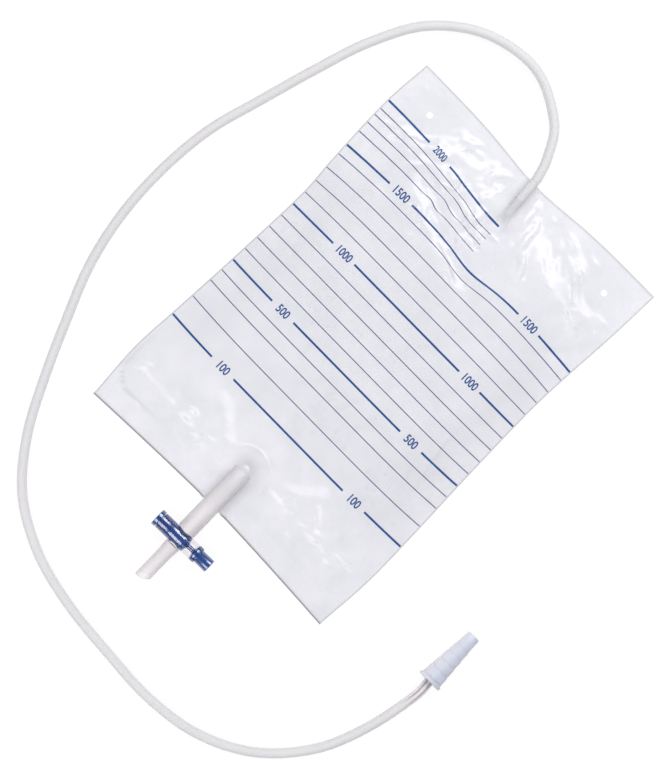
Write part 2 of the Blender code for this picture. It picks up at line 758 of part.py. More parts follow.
def stem_outline():
    """Radius along the stem, from the flange to the knob, with three sealing beads."""
    flange_end = -BARREL_LEFT - GAP
    knob_end = BARREL_RIGHT + KNOB_REACH
    rod = STEM_RADIUS - STEM_BEAD_DEPTH
    outline = [(flange_end - STEM_FLANGE_THICKNESS, STEM_FLANGE_DIAMETER / 2), (flange_end, STEM_FLANGE_DIAMETER / 2)]
    outline.append((flange_end, rod))
    ports = UPPER_SPIGOT_RADIUS - SPIGOT_WALL
    waist_end = WAIST_START + WAIST_LENGTH
    for middle in (-ports - 4 * STEM_BEAD_WIDTH, -ports - STEM_BEAD_WIDTH, WAIST_START - STEM_BEAD_WIDTH):
        outline += [(middle - STEM_BEAD_WIDTH / 2, rod), (middle - STEM_BEAD_WIDTH / 4, STEM_RADIUS),
                    (middle + STEM_BEAD_WIDTH / 4, STEM_RADIUS), (middle + STEM_BEAD_WIDTH / 2, rod)]
    chamfer = (rod - WAIST_DIAMETER / 2) / 3
    outline += [(WAIST_START, rod), (WAIST_START + chamfer, WAIST_DIAMETER / 2)]
    outline += [(waist_end - chamfer, WAIST_DIAMETER / 2), (waist_end, STEM_RADIUS)]
    outline.append((knob_end, STEM_RADIUS))
    return outline


def make_valve_stem(material, slide):
    bm = bmesh.new()
    loft(bm, [ring(-along, radius, segments=28) for along, radius in stem_outline()], hollow=False)
    stem = add_object("valve_stem", bm, (material,), rotation=(0, 0, math.pi / 2), parent=slide)
    bevel(stem, 0.25 * MM, segments=1, angle=60)
    return stem


def make_drain_nozzle(material, drain):
    """Soft tube, swollen over the spigot and cut obliquely, its left side longer."""
    outer = NOZZLE_DIAMETER / 2
    inner = outer - NOZZLE_WALL
    tip = DRAIN_REACH - BARREL_DROP - math.hypot(NOZZLE_SLANT, NOZZLE_DIP) * outer
    start = SPIGOT_SHOULDER
    flared = start + NOZZLE_FLARE_LENGTH
    plan = [(start, outer + NOZZLE_FLARE, 0), (start + NOZZLE_FLARE_LENGTH / 2, outer + NOZZLE_FLARE, 0),
            (flared, outer, 0), (tip, outer, 1), (tip, inner, 1), (flared, inner, 0),
            (start + NOZZLE_FLARE_LENGTH / 2, inner + NOZZLE_FLARE, 0), (start, inner + NOZZLE_FLARE, 0)]
    bm = bmesh.new()
    loft(bm, [ring(along, radius, slant=cut * NOZZLE_SLANT, dip=cut * NOZZLE_DIP) for along, radius, cut in plan],
         hollow=True)
    nozzle = add_object("drain_nozzle", bm, (material,), rotation=(0, 0, math.pi), parent=drain)
    bevel(nozzle, 0.2 * MM, segments=1, angle=50)
    return nozzle


def build():
    clear_scene()
    clear_film = make_material("clear_film", (0.80, 0.80, 0.85), 0.15, alpha=0.45)
    milky_film = make_material("milky_film", (0.82, 0.82, 0.86), 0.35, alpha=0.9)
    ink = make_material("blue_ink", (0.02, 0.07, 0.36), 0.5)
    flap_film = make_material("frosted_film", (0.78, 0.78, 0.84), 0.4, alpha=0.6)
    tube_vinyl = make_material("tube_vinyl", (0.78, 0.76, 0.78), 0.2, alpha=0.6)
    connector_plastic = make_material("connector_plastic", (0.64, 0.68, 0.78), 0.3, alpha=0.85)
    drain_vinyl = make_material("drain_vinyl", (0.74, 0.70, 0.73), 0.25, alpha=0.6)
    clear_plastic = make_material("clear_plastic", (0.85, 0.87, 0.90), 0.08, alpha=0.3)
    blue_plastic = make_material("blue_plastic", (0.01, 0.08, 0.33), 0.25)

    cutters = make_hole_cutters()
    make_back_film(milky_film, cutters)
    make_front_film(clear_film, ink, cutters)
    make_inlet_tube(tube_vinyl)
    make_non_return_valve(flap_film)
    make_catheter_connector(connector_plastic)

    drain = add_empty("drain_axis", (DRAIN_X, BARREL_Y, DRAIN_HEIGHT), rotation=(0, 0, DRAIN_TILT))
    make_drain_sleeve(drain_vinyl, drain)
    make_valve_body(clear_plastic, drain)
    make_valve_stem(blue_plastic, drain)
    make_drain_nozzle(drain_vinyl, drain)


build()
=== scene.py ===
# %% [markdown]
# # A two litre urine drainage bag, laid flat with its tube and drain valve
#
# The bag is two sheets of vinyl film welded together all round. A soft tube is caught in the top weld and ends in
# a stepped connector, and a push-pull valve hangs on a sleeve in the bottom weld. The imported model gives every
# piece its place. This lesson dresses it: fine film with folds and print, hollow clear tubes, moulded plastics,
# a soft studio and a camera looking straight down.

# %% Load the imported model
import math

import bmesh
import bpy
import numpy as np
from mathutils import Matrix, Vector


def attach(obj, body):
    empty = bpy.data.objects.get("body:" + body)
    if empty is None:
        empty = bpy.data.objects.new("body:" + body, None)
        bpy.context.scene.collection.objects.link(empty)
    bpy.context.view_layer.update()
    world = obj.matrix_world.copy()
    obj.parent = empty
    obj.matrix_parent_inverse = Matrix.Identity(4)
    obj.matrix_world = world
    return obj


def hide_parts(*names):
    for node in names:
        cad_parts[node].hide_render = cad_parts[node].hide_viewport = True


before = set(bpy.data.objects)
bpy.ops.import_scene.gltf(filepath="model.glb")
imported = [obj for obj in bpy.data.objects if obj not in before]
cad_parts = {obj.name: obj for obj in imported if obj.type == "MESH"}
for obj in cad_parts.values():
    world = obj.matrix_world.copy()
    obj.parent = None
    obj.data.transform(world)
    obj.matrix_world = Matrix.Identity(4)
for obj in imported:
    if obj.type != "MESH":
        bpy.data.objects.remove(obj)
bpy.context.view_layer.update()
print("nodes:", sorted(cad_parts))

# %% [markdown]
# ## Sizes
#
# The same sizes built the solids, so every fine piece here takes the place of its plain one. A bag maker would
# read them off the drawing: the film first, then the tube, the valve and the connector. All are in metres. The
# hanging holes are punched a little smaller than in the solids, because on the real bag they hardly show.

# %% Sizes of the bag
MM = 0.001
GAP = 0.3 * MM
FILM = 0.2 * MM
HALF_BAG = 100 * MM
BAG_LENGTH = 291.2 * MM
BAG_TOP = 176.3 * MM
BAG_BOTTOM = BAG_TOP - BAG_LENGTH
SIDE_WELD = 4 * MM
TOP_WELD = 8 * MM
BOTTOM_WELD = 13.8 * MM
WELD_RAMP = 9 * MM
BOTTOM_FLAT = 33 * MM
PILLOW = 4.5 * MM
PILLOW_RAMP = 42 * MM
SEAM_HEIGHT = FILM + GAP
ROOM = 2 * GAP
HOLE_RADIUS = 2.5 * MM
PUNCH_RADIUS = 2.1 * MM
HOLES = [(-HALF_BAG + 21.9 * MM, BAG_TOP - 20.6 * MM), (HALF_BAG - 21.9 * MM, BAG_TOP - 20.6 * MM)]
HOLE_WELD = 9 * MM

# %% Sizes of the tube, the valve and the connector
TUBE_RADIUS = 3.15 * MM
TUBE_BORE = 2.15 * MM
TUBE_ENTRY = Vector((-2.2 * MM, BAG_TOP - 5 * MM))
TUBE_END = Vector((0.5 * MM, BAG_TOP - 30.5 * MM))
TUBE_INSIDE = 30.5 * MM
FLAP_WALL = 0.2 * MM
FLAP_RADIUS = TUBE_RADIUS + GAP + FLAP_WALL
FLAP_COLLAR = 12 * MM
FLAP_LENGTH = 46 * MM
FLAP_HALF_WIDTH = 14 * MM
FLAP_MOUTH = 0.75 * MM
TUBE_HEIGHT = SEAM_HEIGHT + FLAP_RADIUS
SLEEVE_RADIUS = 6.4 * MM
SLEEVE_WALL = 1.2 * MM
SLEEVE_INSIDE = 31 * MM
DRAIN_X = 1.4 * MM
DRAIN_TILT = math.radians(1.6)
DRAIN_HEIGHT = SEAM_HEIGHT + SLEEVE_RADIUS
BARREL_DROP = 26.4 * MM
BARREL_Y = BAG_BOTTOM - BARREL_DROP
BARREL_RADIUS = 5.6 * MM
BORE_RADIUS = 4.9 * MM
BARREL_LEFT = 16.1 * MM
BARREL_RIGHT = 16.5 * MM
UPPER_SPIGOT = 18 * MM
LOWER_SPIGOT = 17 * MM
SHOULDER = BARREL_RADIUS + 0.2 * MM + GAP
STEM_RADIUS = 4.6 * MM
NOZZLE_RADIUS = 4.75 * MM
NOZZLE_WALL = 1 * MM
NOZZLE_FLARE = 0.45 * MM
NOZZLE_REACH = 35 * MM
FLANGE_RADIUS = 8.2 * MM
FLANGE_THICKNESS = 2.2 * MM
CONNECTOR_LENGTH = 39.9 * MM
CONNECTOR_X = 174.2 * MM
CONNECTOR_FROM_TOP = -269.1 * MM

# %% [markdown]
# ## Camera
#
# The photograph looks straight down on the bag, which lies turned by 45 degrees in the picture. A long lens from
# more than a metre keeps the tube as round above the bag as below it. The camera is set first, because the tube
# has to lie inside its view.

# %% Set the camera
lens = bpy.data.cameras.new("view_from_above")
lens.lens = 100
lens.sensor_width = 36
lens.clip_end = 20
camera = bpy.data.objects.new("view_from_above", lens)
bpy.context.collection.objects.link(camera)
camera.location = (-1.44 * MM, -8.4 * MM, 1.3438)
camera.rotation_euler = (0, 0, math.radians(45.6))
bpy.context.scene.camera = camera
bpy.context.scene.view_settings.view_transform = "Standard"
print("camera height", round(camera.location.z, 3))

# %% [markdown]
# ## Curves and meshes by hand
#
# Every tube and moulding here is a stack of rings, so two helpers do most of the work. One joins rows of points
# into a skin, the other turns an outline about its axis. Smooth shading with sharp corners kept makes round
# pieces look round without more faces.

# %% Helpers that make a mesh
def smooth(mesh, sharp):
    """Smooth shading that keeps the edges sharper than this angle, in degrees."""
    mesh.shade_smooth()
    mesh.set_sharp_from_angle(angle=math.radians(sharp))


def mesh_object(name, points, faces, sharp=35):
    mesh = bpy.data.meshes.new(name)
    mesh.from_pydata([tuple(point) for point in points], [], faces)
    mesh.validate()
    bm = bmesh.new()
    bm.from_mesh(mesh)
    bmesh.ops.recalc_face_normals(bm, faces=bm.faces)
    bm.to_mesh(mesh)
    bm.free()
    smooth(mesh, sharp)
    thing = bpy.data.objects.new(name, mesh)
    bpy.context.collection.objects.link(thing)
    return thing


def skin(rows, hollow):
    """Faces over rows of points. A hollow piece joins its last row to its first, a solid one is capped."""
    across = len(rows[0])
    faces = []
    pairs = [(j, j + 1) for j in range(len(rows) - 1)]
    if hollow:
        pairs.append((len(rows) - 1, 0))
    for low, high in pairs:
        for i in range(across):
            k = (i + 1) % across
            faces.append((low * across + i, low * across + k, high * across + k, high * across + i))
    if not hollow:
        faces.append(tuple(range(across)))
        faces.append(tuple(range((len(rows) - 1) * across, len(rows) * across)))
    return [point for row in rows for point in row], faces


def ring(along, wide, high=None, lift=0.0, slant=0.0, dip=0.0, segments=96):
    """One section across local Y."""
    high = wide if high is None else high
    turns = [math.tau * step / segments for step in range(segments)]
    return [Vector((wide * math.cos(a), along + slant * wide * math.cos(a) + dip * high * math.sin(a),
                    lift + high * math.sin(a))) for a in turns]


def turned(name, outline, place, hollow=False, segments=96, sharp=35):
    """Turn an outline of (along, radius) about the local Y axis and put it in place."""
    points, faces = skin([ring(along, radius, segments=segments) for along, radius in outline], hollow)
    return mesh_object(name, [place @ point for point in points], faces, sharp)


def cut_or_join(body, rings, place, operation):
    points, faces = skin(rings, hollow=False)
    tool = mesh_object("tool", [place @ point for point in points], faces)
    step = body.modifiers.new("step", "BOOLEAN")
    step.operation = operation
    step.object = tool
    bpy.context.view_layer.update()
    made = bpy.data.meshes.new_from_object(body.evaluated_get(bpy.context.evaluated_depsgraph_get()))
    body.modifiers.clear()
    body.data = made
    bpy.data.objects.remove(tool, do_unlink=True)


print("helpers ready")


# %% [markdown]
# ## The inlet tube
#
# The real tube is about 0.95 m of soft clear vinyl, 6.3 mm outside with a wall of 1 mm. It leaves the top weld,
# turns once round the left of the bag and lies on the table all the way. A smooth curve through the points of its
# route, with nothing tighter than the vinyl would bend, gives its line, and rings along it give a hollow wall.

# %% Points of the route, in millimetres from the middle of the top edge
TUBE_ROUTE = (
    (-8, 14), (-21, 32), (-52, 46.5), (-89, 40), (-119, 17), (-137, -16), (-148.5, -52), (-158.5, -89),
    (-168, -126), (-171, -164), (-168.5, -202), (-160, -238.5), (-145.5, -273.5), (-129.5, -308),
    (-111, -341.5), (-86.5, -369.5), (-53.5, -388), (-17, -397), (21, -400.5), (59, -402), (96.5, -396),
    (130, -378.5), (155, -350), (168.5, -317),
)


def ease(value):
    """Smooth ramp from 0 to 1, for one number or an array."""
    value = np.clip(value, 0.0, 1.0)
    return value * value * (3 - 2 * value)


def mix(low, high, share):
    return low + (high - low) * share


def connector_place():
    """The connector lies on its flange and its tip: its place, and the direction to the tip."""
    tilt = math.atan2(FLANGE_RADIUS - 4.4 * MM, CONNECTOR_LENGTH - FLANGE_THICKNESS)
    height = FLANGE_RADIUS * math.cos(tilt) + FLANGE_THICKNESS * math.sin(tilt) + 0.05 * MM
    base = Vector((CONNECTOR_X, BAG_TOP + CONNECTOR_FROM_TOP, height))
    place = Matrix.Translation(base) @ Matrix.Rotation(-tilt, 4, "X")
    return place, base, Vector((0, math.cos(tilt), -math.sin(tilt)))


def smooth_curve(points, step_length):
    """Evenly spaced points on a smooth curve through the given ones."""
    ends = [2 * points[0] - points[1]] + points + [2 * points[-1] - points[-2]]
    dense = []
    for before, start, end, after in zip(ends, ends[1:], ends[2:], ends[3:]):
        for step in range(24):
            t = step / 24
            dense.append((2 * start + (end - before) * t + (2 * before - 5 * start + 4 * end - after) * t * t
                          + (3 * start - before - 3 * end + after) * t ** 3) / 2)
    dense.append(points[-1])
    dense = np.array([tuple(point) for point in dense])
    travelled = np.concatenate([[0], np.cumsum(np.linalg.norm(np.diff(dense, axis=0), axis=1))])
    even = np.linspace(0, travelled[-1], round(travelled[-1] / step_length) + 1)
    return np.stack([np.interp(even, travelled, dense[:, axis]) for axis in range(3)], axis=1), travelled[-1]


def tube_line(step_length):
    entry = Vector((*TUBE_ENTRY, TUBE_HEIGHT))
    end = Vector((*TUBE_END, TUBE_HEIGHT))
    outward = (entry - end).normalized()
    floor = TUBE_RADIUS + 0.05 * MM
    points = [end, end.lerp(entry, 0.5), entry, entry + outward * 5 * MM]
    for number, (x, from_top) in enumerate(TUBE_ROUTE):
        height = mix(TUBE_HEIGHT, floor, float(ease(number / 2)))
        points.append(Vector((x * MM, BAG_TOP + from_top * MM, height)))
    _, base, towards_tip = connector_place()
    points += [base - towards_tip * 14 * MM, base, base + towards_tip * 10 * MM]
    line, length = smooth_curve(points, step_length)
    line[:, 2] = np.maximum(line[:, 2], floor)
    return line, length


tube_points, tube_length = tube_line(2 * MM)
print("tube length", round(tube_length, 4), "points", len(tube_points))


# %% Sweep the hollow wall along the route, and mark the end, where the edges of the bore are painted as two dark lines
TUBE_SEGMENTS = 40
END_REACH, END_FADE = 34 * MM, 14 * MM
# Where across the tube the two painted dark lines of the bore's edges lie, and their width
BORE_LINE_AT, BORE_LINE_WIDTH = 0.45, 0.16


def swept_tube(name, line, outer, bore, segments=TUBE_SEGMENTS):
    ahead = np.gradient(line, axis=0)
    ahead /= np.linalg.norm(ahead, axis=1)[:, None]
    side = np.cross(ahead, [0, 0, 1])
    side /= np.linalg.norm(side, axis=1)[:, None]
    up = np.cross(side, ahead)
    turn = np.arange(segments) * math.tau / segments
    wheel = np.cos(turn)[None, :, None] * side[:, None, :] + np.sin(turn)[None, :, None] * up[:, None, :]
    outside = line[:, None, :] + wheel * outer
    inside = line[:, None, :] + wheel * bore
    rows = [list(map(Vector, row)) for row in np.concatenate([outside, inside[::-1]])]
    points, faces = skin(rows, hollow=True)
    return mesh_object(name, points, faces, sharp=60)


tube = swept_tube("clear_inlet_tube", tube_points, TUBE_RADIUS, TUBE_BORE)
to_end = np.linalg.norm(tube_points[-1:] - tube_points, axis=1)
near_end = ease((END_REACH - to_end) / END_FADE)
near_end = np.concatenate([near_end, near_end[::-1]])
across = np.cos(np.arange(TUBE_SEGMENTS) * math.tau / TUBE_SEGMENTS)
painted_bore_lines = np.exp(-((np.abs(across) - BORE_LINE_AT) / BORE_LINE_WIDTH) ** 2)
for name, share in (("near_end", np.ones(TUBE_SEGMENTS)), ("painted_bore_lines", painted_bore_lines)):
    stored = tube.data.attributes.new(name, "FLOAT", "POINT")
    stored.data.foreach_set("value", np.outer(near_end, share).ravel().astype(np.float32))
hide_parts("inlet_tube")
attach(tube, "bag")
print("tube faces", len(tube.data.polygons))

# %% [markdown]
# ## The catheter connector
#
# It is a hard moulding: a round flange to pull on, four shallow steps that hold in a catheter's funnel, and a
# plain nose. The steps are one turned outline with small chamfers, bored through, with a wider socket for the tube.


# %% Turn the connector
def connector_outline():
    steps, fall_each, groove = 4, 0.38 * MM, 0.05 * MM
    base_radius, nose_base, nose_tip, nose_length = 7.15 * MM, 4.85 * MM, 4.4 * MM, 10.5 * MM
    socket, socket_depth, bore = TUBE_RADIUS + GAP, 12 * MM, 2.45 * MM
    soft = 0.25 * MM
    outline = [(0, FLANGE_RADIUS - soft), (soft, FLANGE_RADIUS), (FLANGE_THICKNESS - soft, FLANGE_RADIUS),
               (FLANGE_THICKNESS, FLANGE_RADIUS - soft)]
    start = FLANGE_THICKNESS
    length = (CONNECTOR_LENGTH - nose_length - start) / steps
    fall = (base_radius - nose_base - steps * fall_each) / steps
    radius = base_radius
    outline.append((start, radius + 0.3 * MM))
    for step in range(steps):
        foot = (0.9 if step else 0.3) * MM
        end, narrow = start + length, radius - fall
        outline += [(start + foot, radius), (end - 0.35 * MM, narrow + 0.02 * MM),
                    (end - 0.1 * MM, narrow - 0.08 * MM), (end, narrow - 0.25 * MM)]
        start, radius = end, radius - (fall + fall_each)
        outline += [(start + 0.1 * MM, radius - groove), (start + 0.5 * MM, radius - groove)]
    outline += [(start + 0.9 * MM, radius), (CONNECTOR_LENGTH - 0.4 * MM, nose_tip),
                (CONNECTOR_LENGTH - 0.1 * MM, nose_tip - 0.12 * MM), (CONNECTOR_LENGTH, nose_tip - 0.4 * MM)]
    outline += [(CONNECTOR_LENGTH, bore + 0.2 * MM), (CONNECTOR_LENGTH - 0.2 * MM, bore), (socket_depth, bore),
                (socket_depth, socket), (0.3 * MM, socket), (0, socket + 0.3 * MM)]
    return outline


connector = turned("stepped_connector", connector_outline(), connector_place()[0], hollow=True)
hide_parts("catheter_connector")
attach(connector, "bag")
print("connector faces", len(connector.data.polygons))

# %% [markdown]
# ## Lie of the film
#
# The film isn't stiff. Its sides are drawn in where the bag narrows, the sleeve pulls the bottom edge up, and the
# top is gathered where the tube goes in. All of that is written as one map from the flat cut sheet to the table.
# The print later uses the same map, so that lines bend wherever the film does.

# %% Tables read off along the bag
SIDES = np.array([(0, 1.2, 1.8), (0.13, 4, 4), (0.26, 2.4, 3), (0.43, 0.4, 0.6), (0.62, -0.8, -1.4),
                  (0.71, 1.3, -1.2), (0.88, 3.7, 1.2), (1, 1.8, 1.9)])
SIDE_SLIP = np.array([(0, 0, 0), (0.23, 1.6, 1.4), (0.30, 1.8, 2.3), (0.41, 0.9, 1.9), (0.52, 0.1, 1),
                      (0.61, -0.7, 0), (0.665, -2.3, -1.1), (0.70, -2.6, -2.3), (0.765, -2.2, -2.3),
                      (0.83, -1.2, -1.8), (1, 0, 0)])
GATHERS = np.array([(0, 4.3, 36, 1), (29, 7.4, 48, 4), (40, 7.2, 46, 4), (58, 3.7, 36, 7), (69, 3.5, 18, 10),
                    (76, 2.9, 17, 10), (86, 0.5, 17, 10), (96, 0, 17, 10)], float)


def read_off(rows, at, column):
    """Value of a column on a smooth curve through the rows, whose first column is the place."""
    places, values = rows[:, 0], rows[:, column]
    slopes = np.empty_like(values)
    slopes[1:-1] = (values[2:] - values[:-2]) / (places[2:] - places[:-2])
    slopes[0] = (values[1] - values[0]) / (places[1] - places[0])
    slopes[-1] = (values[-1] - values[-2]) / (places[-1] - places[-2])
    at = np.clip(at, places[0], places[-1])
    k = np.clip(np.searchsorted(places, at, side="right") - 1, 0, len(places) - 2)
    span = places[k + 1] - places[k]
    t = (at - places[k]) / span
    value = mix(values[k], values[k + 1], ease(t))
    return value + t * (1 - t) * ((1 - t) * span * slopes[k] - t * span * slopes[k + 1])


def left_or_right(rows, at, x):
    return np.where(x < 0, read_off(rows, at, 1), read_off(rows, at, 2))


def side_at(x, y):
    return HALF_BAG + left_or_right(SIDES, (y - BAG_BOTTOM) / BAG_LENGTH, x) * MM


def gathered(across, height):
    below = (BAG_LENGTH - height) / MM
    depth, spread, middle = (read_off(GATHERS, below, column) for column in (1, 2, 3))
    return depth * MM * np.exp(-(((across / MM - middle) / spread) ** 2))


def puckered(across, height):
    """The long crease left of the inlet takes up a little film, so the printed lines step down across it."""
    middle = np.interp(height / MM, (230, 238, 245, 251), (-38.5, -31, -23, -17))
    share = (across / MM - middle) / np.interp(height / MM, (232, 250), (5, 11))
    near = ease((height / MM - 224) / 8) * ease((258 - height / MM) / 8)
    return -2.1 * MM * near * share * np.exp(-share * share)


def bottom_sag(outward):
    """The sleeve holds the middle of the bottom edge up, and its corners hang back."""
    return (1.6 - 3.9 * outward ** 1.4) * MM


def on_bag(across, height):
    """Plan position of a point of the flat film, given from the middle and from the bottom edge."""
    outward = np.abs(across) / HALF_BAG
    slip = left_or_right(SIDE_SLIP, height / BAG_LENGTH, across) * MM * outward ** 4
    sag = bottom_sag(outward) * (1 - ease(height / (60 * MM)))
    y = BAG_BOTTOM + height - gathered(across, height) + slip + sag + puckered(across, height)
    return across * side_at(across, y) / HALF_BAG, y


print("top corner lies at", [round(float(v), 4) for v in on_bag(np.array(-HALF_BAG), np.array(BAG_LENGTH))])


# %% [markdown]
# ## Height of the film
#
# A little air parts the films inside the welds. Long soft folds run out from the inlet and along the bottom, and
# the film is drawn like a tent over the tube, its non-return valve and the drain sleeve. Each fold is a rounded
# ridge or valley along a line, with its rise in millimetres.

# %% Folds: both ends, half width and rise, in millimetres, from the middle and from the bottom edge
MAIN_FOLDS = ((-54, 241, -15, 223, 8, -1.5), (-15, 223, 10, 213, 8, -1.7), (-50, 226, 4, 204, 8, 0.9),
              (-16, 290, -26, 262, 5, 1.3), (-10, 290, -15, 264, 4, -1.0), (6, 290, 12, 268, 4, 1.1),
              (12, 290, 27, 266, 5, -1.0), (-86, 268, -52, 256, 7, 0.8), (-89, 34, -49, 32, 6, 0.9),
              (-49, 32, -19, 27, 6, 1.0), (24, 37, 61, 34, 6, 0.9), (61, 34, 86, 39, 6, 0.8),
              (-7, 34, -38, 60, 9, 1.1), (10, 34, 42, 62, 9, 1.0))
FINE_FOLDS = ((-30, 288, -22, 268, 3, 0.6), (-24, 286, -18, 262, 2.5, -0.6), (-40, 285, -60, 262, 5, 0.5),
              (-60, 284, -84, 262, 5, 0.4), (-92, 282, -76, 266, 4, 0.4), (18, 286, 34, 250, 4, 0.6),
              (24, 284, 48, 246, 5, -0.5), (40, 280, 66, 262, 6, 0.4), (70, 280, 92, 240, 7, 0.4),
              (-45, 236, -8, 222, 2.5, 0.7), (-47, 243, -6, 236, 2.5, -0.6), (-34, 248, -4, 240, 2.2, 0.6),
              (-40, 230, -30, 214, 3, 0.5), (-20, 232, -4, 190, 6, 0.5), (4, 205, -10, 170, 7, 0.5),
              (16, 208, 30, 160, 8, 0.5), (-70, 236, -50, 210, 7, 0.4), (-96, 44, -90, 20, 3, 0.4),
              (-88, 15, -62, 14, 3, 0.4), (-62, 26, -44, 20, 4, 0.4), (-36, 25, -14, 20, 4, 0.5),
              (28, 22, 52, 26, 4, 0.5), (54, 26, 84, 18, 4, 0.4), (40, 34, 52, 20, 3, 0.4),
              (70, 32, 94, 20, 4, 0.5))


def folds(x, y, rows):
    total = np.zeros_like(x)
    px, py = x / MM, (y - BAG_BOTTOM) / MM
    for x1, y1, x2, y2, spread, rise in rows:
        dx, dy = x2 - x1, y2 - y1
        share = np.clip(((px - x1) * dx + (py - y1) * dy) / (dx * dx + dy * dy), 0, 1)
        away = np.hypot(px - x1 - dx * share, py - y1 - dy * share) / spread
        total += rise * MM * np.clip(1 - away * away, 0, None) ** 2
    return total


def inside_welds(x, y, bottom, ramp):
    share = ease((side_at(x, y) - SIDE_WELD - np.abs(x)) / ramp)
    share = share * ease((BAG_TOP - TOP_WELD - y) / ramp) * ease((y - BAG_BOTTOM - bottom) / ramp)
    for hole_x, hole_y in HOLES:
        share = share * ease((np.hypot(x - hole_x, y - hole_y) - HOLE_RADIUS - HOLE_WELD) / HOLE_WELD)
    return share


def draped(away, ridge_width, ridge_height, middle, slope):
    """Height of a film drawn over a rounded ridge and sloping straight down from it."""
    steepness = slope * ridge_width / ridge_height
    share = steepness / np.sqrt(1 + steepness ** 2)
    away = np.abs(away)
    leaves = share * ridge_width
    on_ridge = middle + ridge_height * np.sqrt(np.clip(1 - (np.minimum(away, leaves) / ridge_width) ** 2, 0, 1))
    return on_ridge - slope * np.maximum(away - leaves, 0)


def flap_half_width(below):
    return mix(FLAP_RADIUS, FLAP_HALF_WIDTH, ease(below / (0.75 * FLAP_LENGTH)))


def flap_half_height(below):
    return mix(FLAP_RADIUS, FLAP_MOUTH, ease((below + 1 * MM) / (0.5 * FLAP_LENGTH)))


def over_tube(x, y):
    outward = (TUBE_ENTRY - TUBE_END).normalized()
    dx, dy = x - TUBE_END.x, y - TUBE_END.y
    below = -(dx * outward.x + dy * outward.y)
    away = dx * outward.y - dy * outward.x
    slope = mix(1.5, 0.35, ease((below + TUBE_INSIDE) / TUBE_INSIDE))
    middle = SEAM_HEIGHT + flap_half_height(below)
    height = draped(away, flap_half_width(below) + ROOM, flap_half_height(below) + ROOM, middle, slope)
    return height - slope * np.maximum(below - FLAP_LENGTH, 0)


def over_sleeve(x, y):
    above = y - (BAG_BOTTOM + SLEEVE_INSIDE)
    slope = mix(1.7, 0.9, ease((above + SLEEVE_INSIDE) / SLEEVE_INSIDE))
    away = x - DRAIN_X + math.tan(DRAIN_TILT) * (y - BARREL_Y)
    around = np.hypot(away, np.maximum(above - 1 * MM, 0))
    return draped(around, SLEEVE_RADIUS + ROOM, SLEEVE_RADIUS + ROOM, DRAIN_HEIGHT, slope)


def blend_up(first, second, softness=0.6 * MM):
    spread = np.maximum(softness - np.abs(first - second), 0) / softness
    return np.maximum(first, second) + spread * spread * softness / 4


def ripples(x, y):
    """Slow unevenness of a soft film: a sum of long weak waves."""
    chance = np.random.default_rng(7)
    total = np.zeros_like(x)
    for _ in range(26):
        length = chance.uniform(14, 60) * MM
        angle = chance.uniform(0, math.pi)
        phase = chance.uniform(0, math.tau)
        wave = np.sin((x * math.cos(angle) + y * math.sin(angle)) * math.tau / length + phase)
        total += wave * length * 0.0011
    return total


def crinkle_lines():
    """Short creases left by packing: dense and radiating at the inlet, slanting at the bottom, few between."""
    chance = np.random.default_rng(11)
    lines = []
    for _ in range(150):
        x, y = chance.uniform(-95, 95), chance.uniform(236, 284)
        angle = math.atan2(y - 300, x + 2) + chance.normal(0, 0.3)
        lines.append((x, y, angle, chance.uniform(5, 24), chance.uniform(1.8, 4.5), chance.uniform(-0.95, 1.0)))
    for _ in range(60):
        x, y = chance.uniform(-52, 6), chance.uniform(205, 258)
        angle = chance.normal(-0.35, 0.5)
        lines.append((x, y, angle, chance.uniform(4, 14), chance.uniform(1.3, 2.6), chance.uniform(-0.8, 0.85)))
    for _ in range(90):
        x, y = chance.uniform(-94, 94), chance.uniform(60, 236)
        angle = math.pi / 2 + chance.normal(0, 0.5)
        lines.append((x, y, angle, chance.uniform(10, 40), chance.uniform(3, 9), chance.uniform(-0.7, 0.75)))
    for _ in range(110):
        x, y = chance.uniform(-95, 95), chance.uniform(3, 44)
        angle = chance.choice((-0.8, 0.7)) + chance.normal(0, 0.4)
        lines.append((x, y, angle, chance.uniform(4, 14), chance.uniform(1.6, 4), chance.uniform(-0.7, 0.8)))
    rows = []
    for x, y, angle, reach, spread, rise in lines:
        dx, dy = reach * math.cos(angle) / 2, reach * math.sin(angle) / 2
        rows.append((x - dx, y - dy, x + dx, y + dy, spread, rise))
    return rows


CRINKLES = crinkle_lines()


def film_height(x, y):
    """Underside of the front film."""
    air = PILLOW * inside_welds(x, y, BOTTOM_FLAT, PILLOW_RAMP)
    inner = inside_welds(x, y, BOTTOM_WELD, WELD_RAMP)
    fine = folds(x, y, list(FINE_FOLDS) + CRINKLES) * inside_welds(x, y, 4 * MM, 5 * MM)
    height = SEAM_HEIGHT + np.maximum(air + folds(x, y, MAIN_FOLDS) * inner + fine + ripples(x, y) * inner, 0)
    return blend_up(blend_up(height, over_tube(x, y)), over_sleeve(x, y), 1.2 * MM)


print("film height over the middle, mm:", round(float(film_height(np.array(0.0), np.array(0.0))) / MM, 2))


# %% [markdown]
# ## The two films
#
# Each film is cut from one sheet, so each is one grid of small cells bent by the map above and given its 0.2 mm
# of thickness. The hanging holes are punched with a round tool. Masks of the welds are kept on the points, because
# the welded rim looks clearer than the loose film.

# %% Bend a grid into a film
MARGIN = np.array([0, 0.35, 0.8, 1.5]) * MM


def lanes(low, high, count):
    """Places of the grid lines, close together at both edges of the film."""
    inner = np.linspace(low + 2.6 * MM, high - 2.6 * MM, count)
    return np.concatenate([low + MARGIN, inner, high - MARGIN[::-1]])


